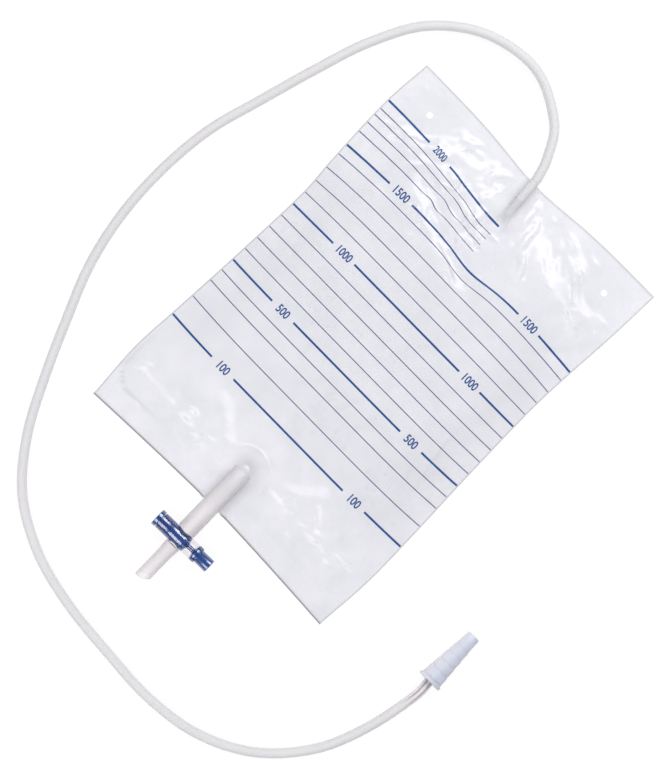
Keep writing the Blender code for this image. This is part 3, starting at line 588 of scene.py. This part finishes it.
def film_shell(name, height_at, count_across, count_along):
    """Closed film of even thickness over the map of the bag."""
    across, along = lanes(-HALF_BAG, HALF_BAG, count_across), lanes(0, BAG_LENGTH, count_along)
    wide, high = len(across), len(along)
    x, y = on_bag(*np.meshgrid(across, along))
    under = np.stack([x, y, height_at(x, y)], axis=-1).reshape(-1, 3)
    points = np.concatenate([under, under + [0, 0, FILM]])
    upper = wide * high
    faces = []
    for j in range(high - 1):
        for i in range(wide - 1):
            a = j * wide + i
            faces.append((a, a + wide, a + wide + 1, a + 1))
            faces.append((a + upper, a + upper + 1, a + upper + wide + 1, a + upper + wide))
    rim = list(range(wide)) + [j * wide + wide - 1 for j in range(1, high)]
    rim += [(high - 1) * wide + i for i in range(wide - 2, -1, -1)] + [j * wide for j in range(high - 2, 0, -1)]
    for a, b in zip(rim, rim[1:] + rim[:1]):
        faces.append((a, b, b + upper, a + upper))
    film = mesh_object(name, points, faces, sharp=70)
    punch = [ring(end, PUNCH_RADIUS, segments=48) for end in (-30 * MM, 30 * MM)]
    for hole_x, hole_y in HOLES:
        upright = Matrix.Translation((hole_x, hole_y, 0)) @ Matrix.Rotation(math.pi / 2, 4, "X")
        cut_or_join(film, punch, upright, "DIFFERENCE")
    smooth(film.data, 70)
    return film


def from_weld(x, y):
    """Distance inwards from the inner line of the weld, whose corners are round."""
    corner = 13 * MM
    low, high = BAG_BOTTOM + BOTTOM_WELD, BAG_TOP - TOP_WELD
    beside = np.abs(x) - (side_at(x, y) - SIDE_WELD + 1 * MM) + corner
    beyond = np.abs(y - (low + high) / 2) - (high - low) / 2 + corner
    outside = np.hypot(np.maximum(beside, 0), np.maximum(beyond, 0))
    return corner - outside - np.minimum(np.maximum(beside, beyond), 0)


def mark_welds(film):
    """Masks for the finish: loose film, welds, cut edge and its painted shadow, painted shade, painted light on
    slopes.
    """
    co = np.empty(len(film.data.vertices) * 3)
    film.data.vertices.foreach_get("co", co)
    x, y = co.reshape(-1, 3)[:, 0], co.reshape(-1, 3)[:, 1]
    inwards = from_weld(x, y)
    step = 0.5 * MM
    slope = np.hypot(film_height(x + step, y) - film_height(x - step, y),
                     film_height(x, y + step) - film_height(x, y - step)) / (2 * step)
    top = on_bag(x * HALF_BAG / side_at(x, y), np.full_like(x, BAG_LENGTH))[1]
    rim = np.minimum(side_at(x, y) - np.abs(x), top - y)
    bottom = y - BAG_BOTTOM - bottom_sag(np.abs(x) / HALF_BAG)
    clear_of_sleeve = ease((np.abs(x - DRAIN_X) - 5 * MM) / (4 * MM))
    above_drain = ease((y + 62 * MM) / (25 * MM))
    beside_middle = np.exp(-(((np.abs(x) - 80 * MM) / (11 * MM)) ** 2))
    lower_left = ease((-50 * MM - x) / (25 * MM)) * ease(-y / (60 * MM) - 0.6)
    # The cut edge of the film is dark, and a painted shadow along it darkens it more: most at the bottom, less at
    # the sides and top.
    bottom_edge_and_shadow = ease((1.3 * MM - bottom) / (1.0 * MM)) * clear_of_sleeve
    marks = {
        "loose": ease(inwards / (1.5 * MM) + 0.5),
        # Paler towards the top. Painted shade darkens the middle of the bag and two bands beside the middle.
        "upper": ease((y - 136 * MM) / (16 * MM)),
        "flat": above_drain * ease((118 * MM - y) / (30 * MM)),
        "side_band_shade": beside_middle * above_drain * ease((112 * MM - y) / (30 * MM)),
        # Painted light: where the film slopes steeply it is made clearer, which lifts the shade of its slopes
        "steep_painted_light": ease((slope - 0.3) / 0.5),
        "weld_line": np.exp(-((inwards / (0.9 * MM)) ** 2)) * lower_left,
        # Cut edge with a painted shadow along it
        "cut_edge_and_shadow": np.maximum(bottom_edge_and_shadow, 0.4 * ease((1.1 * MM - rim) / (0.9 * MM))),
    }
    for name, value in marks.items():
        film.data.attributes.new(name, "FLOAT", "POINT").data.foreach_set("value", value.astype(np.float32))
    return film


front = mark_welds(film_shell("printed_front_film", film_height, 156, 228))
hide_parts("front_film")
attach(front, "bag")
print("front film faces", len(front.data.polygons))


# %% The film underneath
def back_height(x, y):
    return np.full_like(x, 0.02 * MM)


back = mark_welds(film_shell("milky_back_film", back_height, 96, 140))
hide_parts("back_film")
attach(back, "bag")
print("back film faces", len(back.data.polygons))

# %% [markdown]
# ## The non-return valve
#
# Inside the bag the tube ends in a flat sleeve of frosted film. It lets urine in and closes flat when the bag is
# squeezed. Its sections go from round on the tube to a wide flat mouth.

# %% Loft the flattened sleeve
stations = [-FLAP_COLLAR, -0.5 * FLAP_COLLAR] + [share * FLAP_LENGTH for share in np.linspace(0, 1, 20)]
outside, inside = [], []
for below in stations:
    wide, high = float(flap_half_width(below)), float(flap_half_height(below))
    outside.append(ring(-below, wide, high, high - FLAP_RADIUS, segments=64))
    inside.append(ring(-below, wide - FLAP_WALL, high - FLAP_WALL, high - FLAP_RADIUS, segments=64))
outward = TUBE_ENTRY - TUBE_END
flap_turn = Matrix.Translation((*TUBE_END, TUBE_HEIGHT)) @ Matrix.Rotation(math.atan2(-outward.x, outward.y), 4, "Z")
points, faces = skin(outside + inside[::-1], hollow=True)
flap = mesh_object("flattened_valve_sleeve", [flap_turn @ point for point in points], faces, sharp=60)
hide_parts("non_return_valve")
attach(flap, "bag")
print("valve sleeve faces", len(flap.data.polygons))

# %% [markdown]
# ## The drain
#
# A soft sleeve, a clear moulded cross with a bored barrel, a blue stem that slides in it and a soft nozzle. All
# share one axis frame. The cross is made as its mould makes it: a barrel and two spigots joined, then drilled.

# %% Sleeve and nozzle
drain = Matrix.Translation((DRAIN_X, BARREL_Y, DRAIN_HEIGHT)) @ Matrix.Rotation(DRAIN_TILT, 4, "Z")
down = drain @ Matrix.Rotation(math.pi, 4, "Z")
across_bag = drain @ Matrix.Rotation(-math.pi / 2, 4, "Z")
sleeve_end = BARREL_DROP + SLEEVE_INSIDE
sleeve_bore = SLEEVE_RADIUS - SLEEVE_WALL
soft = 0.25 * MM
sleeve_outline = [(SHOULDER, sleeve_bore + soft), (SHOULDER, SLEEVE_RADIUS - soft), (SHOULDER + soft, SLEEVE_RADIUS),
                  (sleeve_end - soft, SLEEVE_RADIUS), (sleeve_end, SLEEVE_RADIUS - soft),
                  (sleeve_end, sleeve_bore + soft), (sleeve_end - soft, sleeve_bore), (SHOULDER + soft, sleeve_bore)]
sleeve = turned("soft_drain_sleeve", sleeve_outline, drain, hollow=True, sharp=50)


def nozzle_rings():
    slant, dip = 0.38, 0.34
    tip = NOZZLE_REACH - math.hypot(slant, dip) * NOZZLE_RADIUS
    bore = NOZZLE_RADIUS - NOZZLE_WALL
    outer, inner = [], []
    for share in np.linspace(0, 1, 16):
        along = mix(SHOULDER, tip, share)
        swell = NOZZLE_FLARE * (1 - float(ease((along - SHOULDER - 2 * MM) / (5 * MM))))
        cut = float(ease((share - 0.55) / 0.45))
        outer.append(ring(along, NOZZLE_RADIUS + swell, slant=slant * cut, dip=dip * cut))
        inner.append(ring(along, bore + swell, slant=slant * cut, dip=dip * cut))
    rounded = ring(tip + 0.15 * MM, NOZZLE_RADIUS - 0.3 * MM, slant=slant, dip=dip)
    return outer + [rounded] + inner[::-1]


points, faces = skin(nozzle_rings(), hollow=True)
nozzle = mesh_object("soft_drain_nozzle", [down @ point for point in points], faces, sharp=50)
for piece, node in ((sleeve, "drain_sleeve"), (nozzle, "drain_nozzle")):
    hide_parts(node)
    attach(piece, "bag")
print("sleeve and nozzle made")


# %% The clear cross: joined, then drilled
def spigot_rings(radius, reach):
    steps, fillet = 12, 2.1 * MM
    depth = min(radius, BARREL_RADIUS - 0.4 * MM)
    foot = 0.8 * BARREL_RADIUS
    rings = [ring(0.3 * BARREL_RADIUS, radius + fillet, depth)]
    for step in range(steps + 1):
        angle = math.pi / 2 * step / steps
        along = foot + (SHOULDER - GAP - foot) * math.sin(angle)
        extra = fillet * (1 - math.sin(angle)) ** 1.5
        rings.append(ring(along, radius + extra, mix(depth, radius, step / steps)))
    return rings + [ring(reach - 0.5 * MM, radius), ring(reach, radius - 0.5 * MM)]


def round_off(body, cylinders):
    """Give the faces that lie on a cylinder its true normals, because joining and drilling leaves long faces."""
    mesh = body.data
    normals = [normal.vector.copy() for normal in mesh.corner_normals]
    for place, radius, side in cylinders:
        inverse, turn = place.inverted(), place.to_3x3()
        local = [inverse @ vertex.co for vertex in mesh.vertices]
        for face in mesh.polygons:
            for corner, vertex in zip(face.loop_indices, face.vertices):
                x, _, z = local[vertex]
                if abs(math.hypot(x, z) - radius) < 0.02 * MM:
                    radial = (turn @ Vector((x, 0, z))).normalized() * side
                    if radial.dot(face.normal) > 0.95:
                        normals[corner] = radial
    mesh.normals_split_custom_set(normals)


rim = 0.5 * MM
barrel_outline = [(-BARREL_LEFT, BARREL_RADIUS - rim / 2), (-BARREL_LEFT + rim, BARREL_RADIUS),
                  (BARREL_RIGHT - rim, BARREL_RADIUS), (BARREL_RIGHT, BARREL_RADIUS - rim / 2)]
cross = turned("clear_valve_cross", barrel_outline, across_bag)
upper, lower = SLEEVE_RADIUS - SLEEVE_WALL - GAP, NOZZLE_RADIUS - NOZZLE_WALL - GAP
spigot_wall, past = 1 * MM, 3 * MM
spigots = ((drain, upper, UPPER_SPIGOT), (down, lower, LOWER_SPIGOT))
for place, radius, reach in spigots:
    cut_or_join(cross, spigot_rings(radius, reach), place, "UNION")
barrel_drill = [ring(-BARREL_LEFT - past, BORE_RADIUS), ring(BARREL_RIGHT + past, BORE_RADIUS)]
cut_or_join(cross, barrel_drill, across_bag, "DIFFERENCE")
round_faces = [(across_bag, BARREL_RADIUS, 1), (across_bag, BORE_RADIUS, -1)]
for place, radius, reach in spigots:
    port = radius - spigot_wall
    cut_or_join(cross, [ring(0, port), ring(reach + past, port)], place, "DIFFERENCE")
    round_faces += [(place, radius, 1), (place, port, -1)]
smooth(cross.data, 40)
round_off(cross, round_faces)
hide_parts("valve_body")
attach(cross, "bag")
print("cross faces", len(cross.data.polygons))


# %% The blue stem
def stem_outline():
    """Radius along the stem: flange, rod, the wide seal about the ports, waist and knob."""
    flange_end = -BARREL_LEFT - GAP
    knob_end = BARREL_RIGHT + 9.5 * MM
    rod, seal = STEM_RADIUS - 0.1 * MM, BORE_RADIUS + 0.03 * MM
    waist, waist_end = 6.6 * MM, 12.6 * MM
    flange = ((2.9, 5.5), (2.7, 5.82), (2.4, 5.9), (0.4, 5.9), (0.1, 5.8), (0, 5.6))
    neck = ((0.2, 2.6), (0.8, 1.4), (1.4, 1.2))
    outline = [(flange_end - before * MM, radius * MM) for before, radius in flange]
    outline += [(flange_end, rod), (-8.2 * MM, rod), (-7.7 * MM, seal), (waist - 1.2 * MM, seal),
                (waist - 0.3 * MM, STEM_RADIUS - 0.4 * MM)]
    outline += [(waist + past_end * MM, radius * MM) for past_end, radius in neck]
    outline += [(waist_end - past_end * MM, radius * MM) for past_end, radius in reversed(neck)]
    outline += [(waist_end + 0.3 * MM, STEM_RADIUS - 0.3 * MM), (waist_end + 0.9 * MM, seal),
                (waist_end + 2.4 * MM, seal), (waist_end + 3 * MM, rod), (knob_end - 0.5 * MM, STEM_RADIUS),
                (knob_end - 0.12 * MM, STEM_RADIUS - 0.15 * MM), (knob_end, STEM_RADIUS - 0.5 * MM)]
    return outline


stem = turned("blue_valve_stem", stem_outline(), across_bag, sharp=50)
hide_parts("valve_stem")
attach(stem, "stem")
print("stem faces", len(stem.data.polygons))

# %% [markdown]
# ## The print
#
# The graduation is printed flat on the film before it is welded. Each line here is a thin strip of ink laid on
# the film by the same map, 0.03 mm thick, so that it dips and kinks with the folds. Numbers are set with plain
# type, cut into small faces and laid on in the same way.

# %% Heights of the lines
HEIGHTS = [66.7, 83.4, 98.6, 108.4] + [118.2 + 10.54 * i for i in range(6)] + [182 + 11.05 * i for i in range(4)]
HEIGHTS += [222.6, 233.5, 240.8, 247.3, 252.4, 259.4]
MAJOR = {0: "100", 4: "500", 9: "1000", 14: "1500", 19: "2000"}
TOP_LINE, FIRST_SHORT = 19, 15
LINE_END, SHORT_END = 99.1, 2
LEFT_GAP, RIGHT_GAP = (-63.5, -44.5), (50, 68.5)
BOLD, THIN = 1.35, 0.66
INK_LIFT = FILM + 0.02 * MM
INK_THICK = 0.03 * MM
print("lines", len(HEIGHTS))


def laid_on_film(across, height):
    """Points on the outside of the front film."""
    x, y = on_bag(across, height)
    return np.stack([x, y, film_height(x, y) + INK_LIFT], axis=-1)


def ink_strip(start, end, height, width):
    """Closed strip of ink from start to end, all in millimetres on the flat film."""
    count = max(int((end - start) / 1.2), 2)
    across = np.linspace(start, end, count + 1) * MM
    low = laid_on_film(across, np.full_like(across, (height - width / 2) * MM))
    high = laid_on_film(across, np.full_like(across, (height + width / 2) * MM))
    rows = []
    for a, b in zip(low, high):
        top = np.array([0, 0, INK_THICK])
        rows.append([Vector(a), Vector(b), Vector(b + top), Vector(a + top)])
    return skin(rows, hollow=False)


# %% Lay the lines
line_sets = {"bold": ([], []), "thin": ([], [])}
for number, height in enumerate(HEIGHTS):
    ends = [-LINE_END, SHORT_END if number >= FIRST_SHORT else LINE_END]
    if number in MAJOR:
        ends[1:1] = LEFT_GAP if number == TOP_LINE else LEFT_GAP + RIGHT_GAP
    line_points, line_faces = line_sets["bold" if number in MAJOR else "thin"]
    for start, end in zip(ends[::2], ends[1::2]):
        points, faces = ink_strip(start, end, height, BOLD if number in MAJOR else THIN)
        line_faces += [tuple(i + len(line_points) for i in face) for face in faces]
        line_points += points
bold_lines = mesh_object("bold_graduation_lines", *line_sets["bold"], sharp=60)
thin_lines = mesh_object("thin_graduation_lines", *line_sets["thin"], sharp=60)
for piece in (bold_lines, thin_lines):
    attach(piece, "bag")
    piece.visible_shadow = False
print("line faces", len(bold_lines.data.polygons) + len(thin_lines.data.polygons))


# %% Set the numbers
def number_mesh(name, words, middle, height, size, stretch):
    """Plain type, cut fine and laid on the film."""
    type_curve = bpy.data.curves.new(name, "FONT")
    type_curve.body = words
    type_curve.align_x = "CENTER"
    type_curve.align_y = "CENTER"
    type_curve.size = size * MM
    type_curve.extrude = 0.015 * MM
    type_curve.offset = 0.16 * MM
    flat = bpy.data.objects.new(name, type_curve)
    bpy.context.collection.objects.link(flat)
    bpy.context.view_layer.update()
    mesh = bpy.data.meshes.new_from_object(flat.evaluated_get(bpy.context.evaluated_depsgraph_get()))
    bpy.data.objects.remove(flat, do_unlink=True)
    bm = bmesh.new()
    bm.from_mesh(mesh)
    bmesh.ops.triangulate(bm, faces=bm.faces)
    flat_x, flat_y, rise = np.array([tuple(vertex.co) for vertex in bm.verts]).T
    places = laid_on_film(middle * MM + flat_x * stretch, height * MM + flat_y)
    for vertex, place, lift in zip(bm.verts, places, rise):
        vertex.co = Vector(place) + Vector((0, 0, lift + 0.02 * MM))
    bmesh.ops.recalc_face_normals(bm, faces=bm.faces)
    bm.to_mesh(mesh)
    bm.free()
    piece = bpy.data.objects.new(name, mesh)
    bpy.context.collection.objects.link(piece)
    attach(piece, "bag")
    piece.visible_shadow = False
    return piece


numbers = []
for number, words in MAJOR.items():
    for side, middle in (("left", -54), ("right", 59.3)):
        if number != TOP_LINE or side == "left":
            size, stretch = (7.0, 0.69) if number == TOP_LINE else (7.9, 0.78)
            numbers.append(number_mesh(f"number_{words}_{side}", words, middle, HEIGHTS[number], size, stretch))
print("numbers", len(numbers))

# %% [markdown]
# ## Writing a finish
#
# A finish is a small sum of patterns. To write it as a sum, one class wraps a node's output and lets Python's
# signs add Math nodes, and one method makes every other node from its type, its settings and its sockets.


# %% Shader maths as Python expressions
class Wire:
    """A number that varies over a surface."""

    def __init__(self, finish, socket):
        self.finish = finish
        self.socket = socket

    def maths(self, operation, first, second):
        return self.finish.node("ShaderNodeMath", {"operation": operation}, {0: first, 1: second})["Value"]

    def __add__(self, other):
        return self.maths("ADD", self, other)

    def __radd__(self, other):
        return self.maths("ADD", other, self)

    def __sub__(self, other):
        return self.maths("SUBTRACT", self, other)

    def __rsub__(self, other):
        return self.maths("SUBTRACT", other, self)

    def __mul__(self, other):
        return self.maths("MULTIPLY", self, other)

    def __rmul__(self, other):
        return self.maths("MULTIPLY", other, self)

    def __pow__(self, other):
        return self.maths("POWER", self, other)

    def __abs__(self):
        return self.maths("ABSOLUTE", self, 0)


class Finish:
    """A material with one Principled shader, and the patterns that feed it."""

    def __init__(self, name, **settings):
        self.material = bpy.data.materials.new(name)
        self.material.use_nodes = True
        self.tree = self.material.node_tree
        self.shader = self.tree.nodes["Principled BSDF"]
        for key, value in settings.items():
            self.shader.inputs[key.replace("_", " ")].default_value = value

    def node(self, kind, settings=None, sockets=None):
        """Make a node, set it up, and fill its sockets with values or wires. Gives its outputs by name."""
        made = self.tree.nodes.new(kind)
        for key, value in (settings or {}).items():
            setattr(made, key, value)
        for key, value in (sockets or {}).items():
            self.fill(made.inputs[key], value)
        return {output.name: Wire(self, output) for output in made.outputs}

    def fill(self, socket, value):
        if isinstance(value, Wire):
            self.tree.links.new(value.socket, socket)
        else:
            socket.default_value = value

    def feed(self, name, value):
        self.fill(self.shader.inputs[name], value)

    def noise(self, scale, detail):
        place = self.node("ShaderNodeTexCoord")["Object"]
        return self.node("ShaderNodeTexNoise", {}, {"Vector": place, "Scale": scale, "Detail": detail})["Fac"]

    def stored(self, name):
        return self.node("ShaderNodeAttribute", {"attribute_name": name})["Fac"]

    def facing(self, axis):
        """How far the surface looks along an axis, from -1 to 1."""
        normal = self.node("ShaderNodeNewGeometry")["Normal"]
        return self.node("ShaderNodeSeparateXYZ", {}, {0: normal})[axis]

    # Used below to paint shade on the upright walls of the vinyl pieces
    def upright(self):
        """0 where the surface looks straight up or down, 1 where it stands upright."""
        return 1 - abs(self.facing("Z")) ** 0.7

    def blend(self, share, first, second):
        """Mix two colours by a wire."""
        made = self.tree.nodes.new("ShaderNodeMix")
        made.data_type = "RGBA"
        self.fill(made.inputs["Factor"], share)
        self.fill(made.inputs[6], first)
        self.fill(made.inputs[7], second)
        return Wire(self, made.outputs[2])

    def bump(self, height, strength, distance):
        relief = {"Height": height, "Strength": strength, "Distance": distance}
        self.feed("Normal", self.node("ShaderNodeBump", {}, relief)["Normal"])

    def mix_in(self, share, other):
        """Put a share of another shader over the Principled one."""
        blend = self.tree.nodes.new("ShaderNodeMixShader")
        for socket, value in zip(blend.inputs, (share, Wire(self, self.shader.outputs[0]), other)):
            self.fill(socket, value)
        self.tree.links.new(blend.outputs[0], self.tree.nodes["Material Output"].inputs["Surface"])

    def let_light_through(self, share=1.0):
        """The first wall of a clear piece bends the view. Light on its further way goes straight through."""
        path = self.node("ShaderNodeLightPath")
        further = path["Is Shadow Ray"] + path["Is Diffuse Ray"] + path["Is Glossy Ray"]
        clear = self.node("ShaderNodeBsdfTransparent", {}, {"Color": (0.95, 0.94, 0.95, 1)})["BSDF"]
        self.mix_in(further * share, clear)

    def paint(self, *things):
        for thing in things:
            thing.data.materials.clear()
            thing.data.materials.append(self.material)
        return self


print("finishes can be written")

# %% [markdown]
# ## Film, ink and valve sleeve
#
# Welding squeezes the films into one clear band, while the loose film looks milkier. The print side is glossy and
# almost clear, the back film is milky and carries most of the grey. Soft blotches and a very fine grain keep both
# from looking like glass.

# %% Finish of the films
front_finish = Finish("clear_film", IOR=1.7, Specular_IOR_Level=1.0)
cloud = front_finish.noise(18, 4) * 0.5 + front_finish.noise(95, 3) * 0.5
loose = front_finish.stored("loose")
# Dark line at the cut edge: partly the cut film itself, partly a painted shadow along it
edge_and_shadow = front_finish.stored("cut_edge_and_shadow")
shade = front_finish.blend(cloud * 0.7 + loose * 0.25, (0.93, 0.93, 0.96, 1), (0.85, 0.85, 0.89, 1))
front_finish.feed("Base Color", front_finish.blend(edge_and_shadow, shade, (0.22, 0.22, 0.25, 1)))
# Painted light: steep slopes of the front film are made clearer, which lifts their shade
painted_light_on_slopes = 1 - front_finish.stored("steep_painted_light") * 0.7
front_finish.feed("Alpha", (0.13 + loose * 0.02 + cloud * 0.08) * painted_light_on_slopes + edge_and_shadow * 0.5)
front_finish.feed("Roughness", 0.16 + cloud * 0.19)
front_finish.bump(front_finish.noise(60, 2), 0.06, 0.0005)
front_finish.paint(front)

back_finish = Finish("milky_film", IOR=1.5)
cloud = back_finish.noise(22, 4) * 0.6 + back_finish.noise(85, 3) * 0.4
# Dark line at the cut edge: partly the cut film itself, partly a painted shadow along it
edge_and_shadow = back_finish.stored("cut_edge_and_shadow")
line = back_finish.stored("weld_line")
shade = back_finish.blend((cloud - 0.5) * 2.2 + 0.55, (0.745, 0.745, 0.78, 1), (0.595, 0.595, 0.64, 1))
# Paler towards the top
shade = back_finish.blend(back_finish.stored("upper") * 0.15, shade, (0.76, 0.76, 0.80, 1))
# Painted shade: darker over the middle of the bag and in two bands beside the middle
shade = back_finish.blend(back_finish.stored("flat") * 0.2 + back_finish.stored("side_band_shade") * 0.28, shade,
                          (0.54, 0.545, 0.575, 1))
shade = back_finish.blend(line * 0.7, shade, (0.45, 0.45, 0.5, 1))
back_finish.feed("Base Color", back_finish.blend(edge_and_shadow, shade, (0.2, 0.2, 0.23, 1)))
back_finish.feed("Roughness", 0.3 + cloud * 0.2)
back_finish.bump(back_finish.noise(200, 3), 0.12, 0.0003)
back_finish.paint(back)
print("films painted")

# %% Finish of the ink and of the valve sleeve
def print_with(name, dark, pale, cover, worn, *pieces):
    """Ink with paler patches, worn through in fine spots."""
    ink = Finish(name, Roughness=0.5, Specular_IOR_Level=0.25)
    patchy = ink.noise(160, 4)
    along_bag = ink.noise(9, 2)
    ink.feed("Base Color", ink.blend(patchy * 0.5 + along_bag * 0.5, dark, pale))
    ink.feed("Alpha", cover - patchy * worn)
    ink.paint(*pieces)


print_with("blue_ink", (0.004, 0.036, 0.165, 1), (0.022, 0.085, 0.25, 1), 1.08, 0.2, bold_lines, *numbers)
print_with("thin_ink", (0.04, 0.045, 0.15, 1), (0.15, 0.14, 0.27, 1), 1.0, 0.35, thin_lines)

flap_finish = Finish("frosted_film", IOR=1.06, Transmission_Weight=1.0)
mist = flap_finish.noise(60, 3)
flap_finish.feed("Base Color", flap_finish.blend(mist, (1, 1, 1, 1), (0.97, 0.97, 0.985, 1)))
flap_finish.feed("Roughness", 0.2 + mist * 0.2)
flap_finish.paint(flap)
flap.visible_shadow = False
flap.visible_diffuse = False
print("ink painted")

# %% [markdown]
# ## Vinyl and hard plastics
#
# Soft vinyl lets light through and scatters a little, so the tube looks milky grey. Its upright walls are painted
# darker, a painted shade, and near its end it is paler, with the edges of its bore painted as two dark lines. The
# sleeve and the nozzle are a thicker, slightly pink vinyl, with the same painted shade on their upright walls. The
# cross is clear polystyrene, the stem glossy deep blue, and the connector a cloudy bluish plastic with painted
# light on the side that faces the bag.

# %% Finish of the tubes
tube_finish = Finish("tube_vinyl", IOR=1.45, Specular_IOR_Level=0.35)
streaks = tube_finish.noise(25, 3)
upright = tube_finish.upright()
shade = tube_finish.blend(streaks, (0.69, 0.68, 0.70, 1), (0.63, 0.62, 0.64, 1))
# Near its end the tube is paler, and the edges of its bore are painted as two dark lines
near_end = tube_finish.stored("near_end")
shade = tube_finish.blend(near_end * 0.5, shade, (0.80, 0.78, 0.80, 1))
shade = tube_finish.blend(tube_finish.stored("painted_bore_lines"), shade, (0.30, 0.21, 0.25, 1))
# Painted shade: the walls are painted darker where they stand upright, and made denser there
tube_finish.feed("Base Color", tube_finish.blend(upright * 0.3, shade, (0.62, 0.61, 0.635, 1)))
tube_finish.feed("Alpha", 0.74 + upright * 0.18)
tube_finish.feed("Roughness", 0.38 + streaks * 0.12)
tube_finish.let_light_through(share=0.35)
tube_finish.paint(tube)

drain_finish = Finish("drain_vinyl", IOR=1.45)
streaks = drain_finish.noise(40, 3)
upright = drain_finish.upright()
shade = drain_finish.blend(streaks, (0.79, 0.76, 0.785, 1), (0.73, 0.70, 0.725, 1))
# Painted shade: the upright walls of the sleeve and the nozzle are painted darker and made denser
drain_finish.feed("Base Color", drain_finish.blend(upright * 0.9, shade, (0.52, 0.47, 0.505, 1)))
drain_finish.feed("Alpha", 0.6 + upright * 0.25)
drain_finish.feed("Roughness", 0.2 + streaks * 0.12)
drain_finish.bump(drain_finish.noise(120, 2), 0.05, 0.0003)
drain_finish.let_light_through(share=0.35)
drain_finish.paint(sleeve, nozzle)
print("vinyl painted")

# %% Finish of the mouldings
clear_finish = Finish("clear_plastic", IOR=1.36, Transmission_Weight=1.0, Specular_IOR_Level=1.0)
haze = clear_finish.noise(60, 3)
clear_finish.feed("Base Color", clear_finish.blend(haze, (0.95, 0.925, 0.945, 1), (0.90, 0.875, 0.905, 1)))
clear_finish.feed("Roughness", 0.09 + haze * 0.04)
clear_finish.let_light_through()
clear_finish.paint(cross)

blue_finish = Finish("blue_plastic", IOR=1.5, Specular_IOR_Level=0.7, Coat_Weight=1.0, Coat_IOR=2.0,
                     Coat_Roughness=0.1)
swirl = blue_finish.noise(120, 3)
blue_finish.feed("Base Color", blue_finish.blend(swirl, (0.0005, 0.032, 0.175, 1), (0.003, 0.056, 0.26, 1)))
blue_finish.feed("Roughness", 0.22 + swirl * 0.1)
blue_finish.paint(stem)

connector_finish = Finish("connector_plastic", IOR=1.5, Specular_IOR_Level=0.3, Transmission_Weight=0.3)
mist = connector_finish.noise(80, 3)
shade = connector_finish.blend(mist, (0.68, 0.70, 0.80, 1), (0.60, 0.63, 0.745, 1))
# Painted light: the side that looks towards -X, towards the bag, is painted paler
painted_light_side = 0.15 - connector_finish.facing("X") * 0.9
connector_finish.feed("Base Color", connector_finish.blend(painted_light_side, shade, (0.80, 0.815, 0.875, 1)))
connector_finish.feed("Roughness", 0.35 + mist * 0.15)
connector_finish.bump(connector_finish.noise(300, 2), 0.05, 0.0002)
connector_finish.paint(connector)
print("mouldings painted")

# %% [markdown]
# ## Studio
#
# A white table and plain soft light. The table answers the camera with white, and keeps a weak share of its own
# shading so that the bag's shadow stays. Two long softboxes stand beyond the top and the bottom of the bag: they
# draw the two bright lines along the round barrel.

# %% White table
table_finish = Finish("white_table", Roughness=0.8)
table_finish.feed("Base Color", (0.9, 0.9, 0.9, 1))
path = table_finish.node("ShaderNodeLightPath")
seen = path["Is Camera Ray"]
for ray in ("Is Glossy Ray", "Is Transmission Ray"):
    seen = seen.maths("MAXIMUM", seen, path[ray])
white = table_finish.node("ShaderNodeEmission", {}, {"Color": (1, 1, 1, 1), "Strength": 1.02})["Emission"]
table_finish.mix_in(seen * 0.88, white)
HALF_TABLE, TABLE_LEVEL = 4, -0.3 * MM
corners = [(x * HALF_TABLE, y * HALF_TABLE, TABLE_LEVEL) for x, y in ((-1, -1), (1, -1), (1, 1), (-1, 1))]
table_top = mesh_object("table_top", corners, [(0, 1, 2, 3)])
table_finish.paint(table_top)


# %% World and softboxes
world = bpy.data.worlds.new("studio")
bpy.context.scene.world = world
world.use_nodes = True
sky = world.node_tree.nodes["Background"]
sky.inputs["Color"].default_value = (1, 1, 1, 1)
path = world.node_tree.nodes.new("ShaderNodeLightPath")
inside = world.node_tree.nodes.new("ShaderNodeMix")
mirrored = world.node_tree.nodes.new("ShaderNodeMix")
outside = world.node_tree.nodes.new("ShaderNodeMix")
for step, ray, level in ((mirrored, "Is Glossy Ray", 0.12), (inside, "Is Transmission Ray", 0.5),
                         (outside, "Is Camera Ray", 1.0)):
    step.inputs["B"].default_value = level
    world.node_tree.links.new(path.outputs[ray], step.inputs["Factor"])
mirrored.inputs["A"].default_value = 0.35
world.node_tree.links.new(mirrored.outputs["Result"], inside.inputs["A"])
world.node_tree.links.new(inside.outputs["Result"], outside.inputs["A"])
world.node_tree.links.new(outside.outputs["Result"], sky.inputs["Strength"])


def softbox(name, location, size, power):
    """A wide soft lamp that looks at the middle of the bag."""
    lamp = bpy.data.lights.new(name, "AREA")
    lamp.shape = "RECTANGLE"
    lamp.size, lamp.size_y = size
    lamp.energy = power
    thing = bpy.data.objects.new(name, lamp)
    bpy.context.collection.objects.link(thing)
    thing.location = location
    thing.rotation_euler = (-Vector(location)).to_track_quat("-Z", "Y").to_euler()


softbox("softbox_top", (-0.1, 1.15, 1.15), (1.8, 0.95), 26.5)
softbox("softbox_bottom", (-0.1, -1.15, 1.15), (1.8, 0.95), 19.5)
print("studio lit")
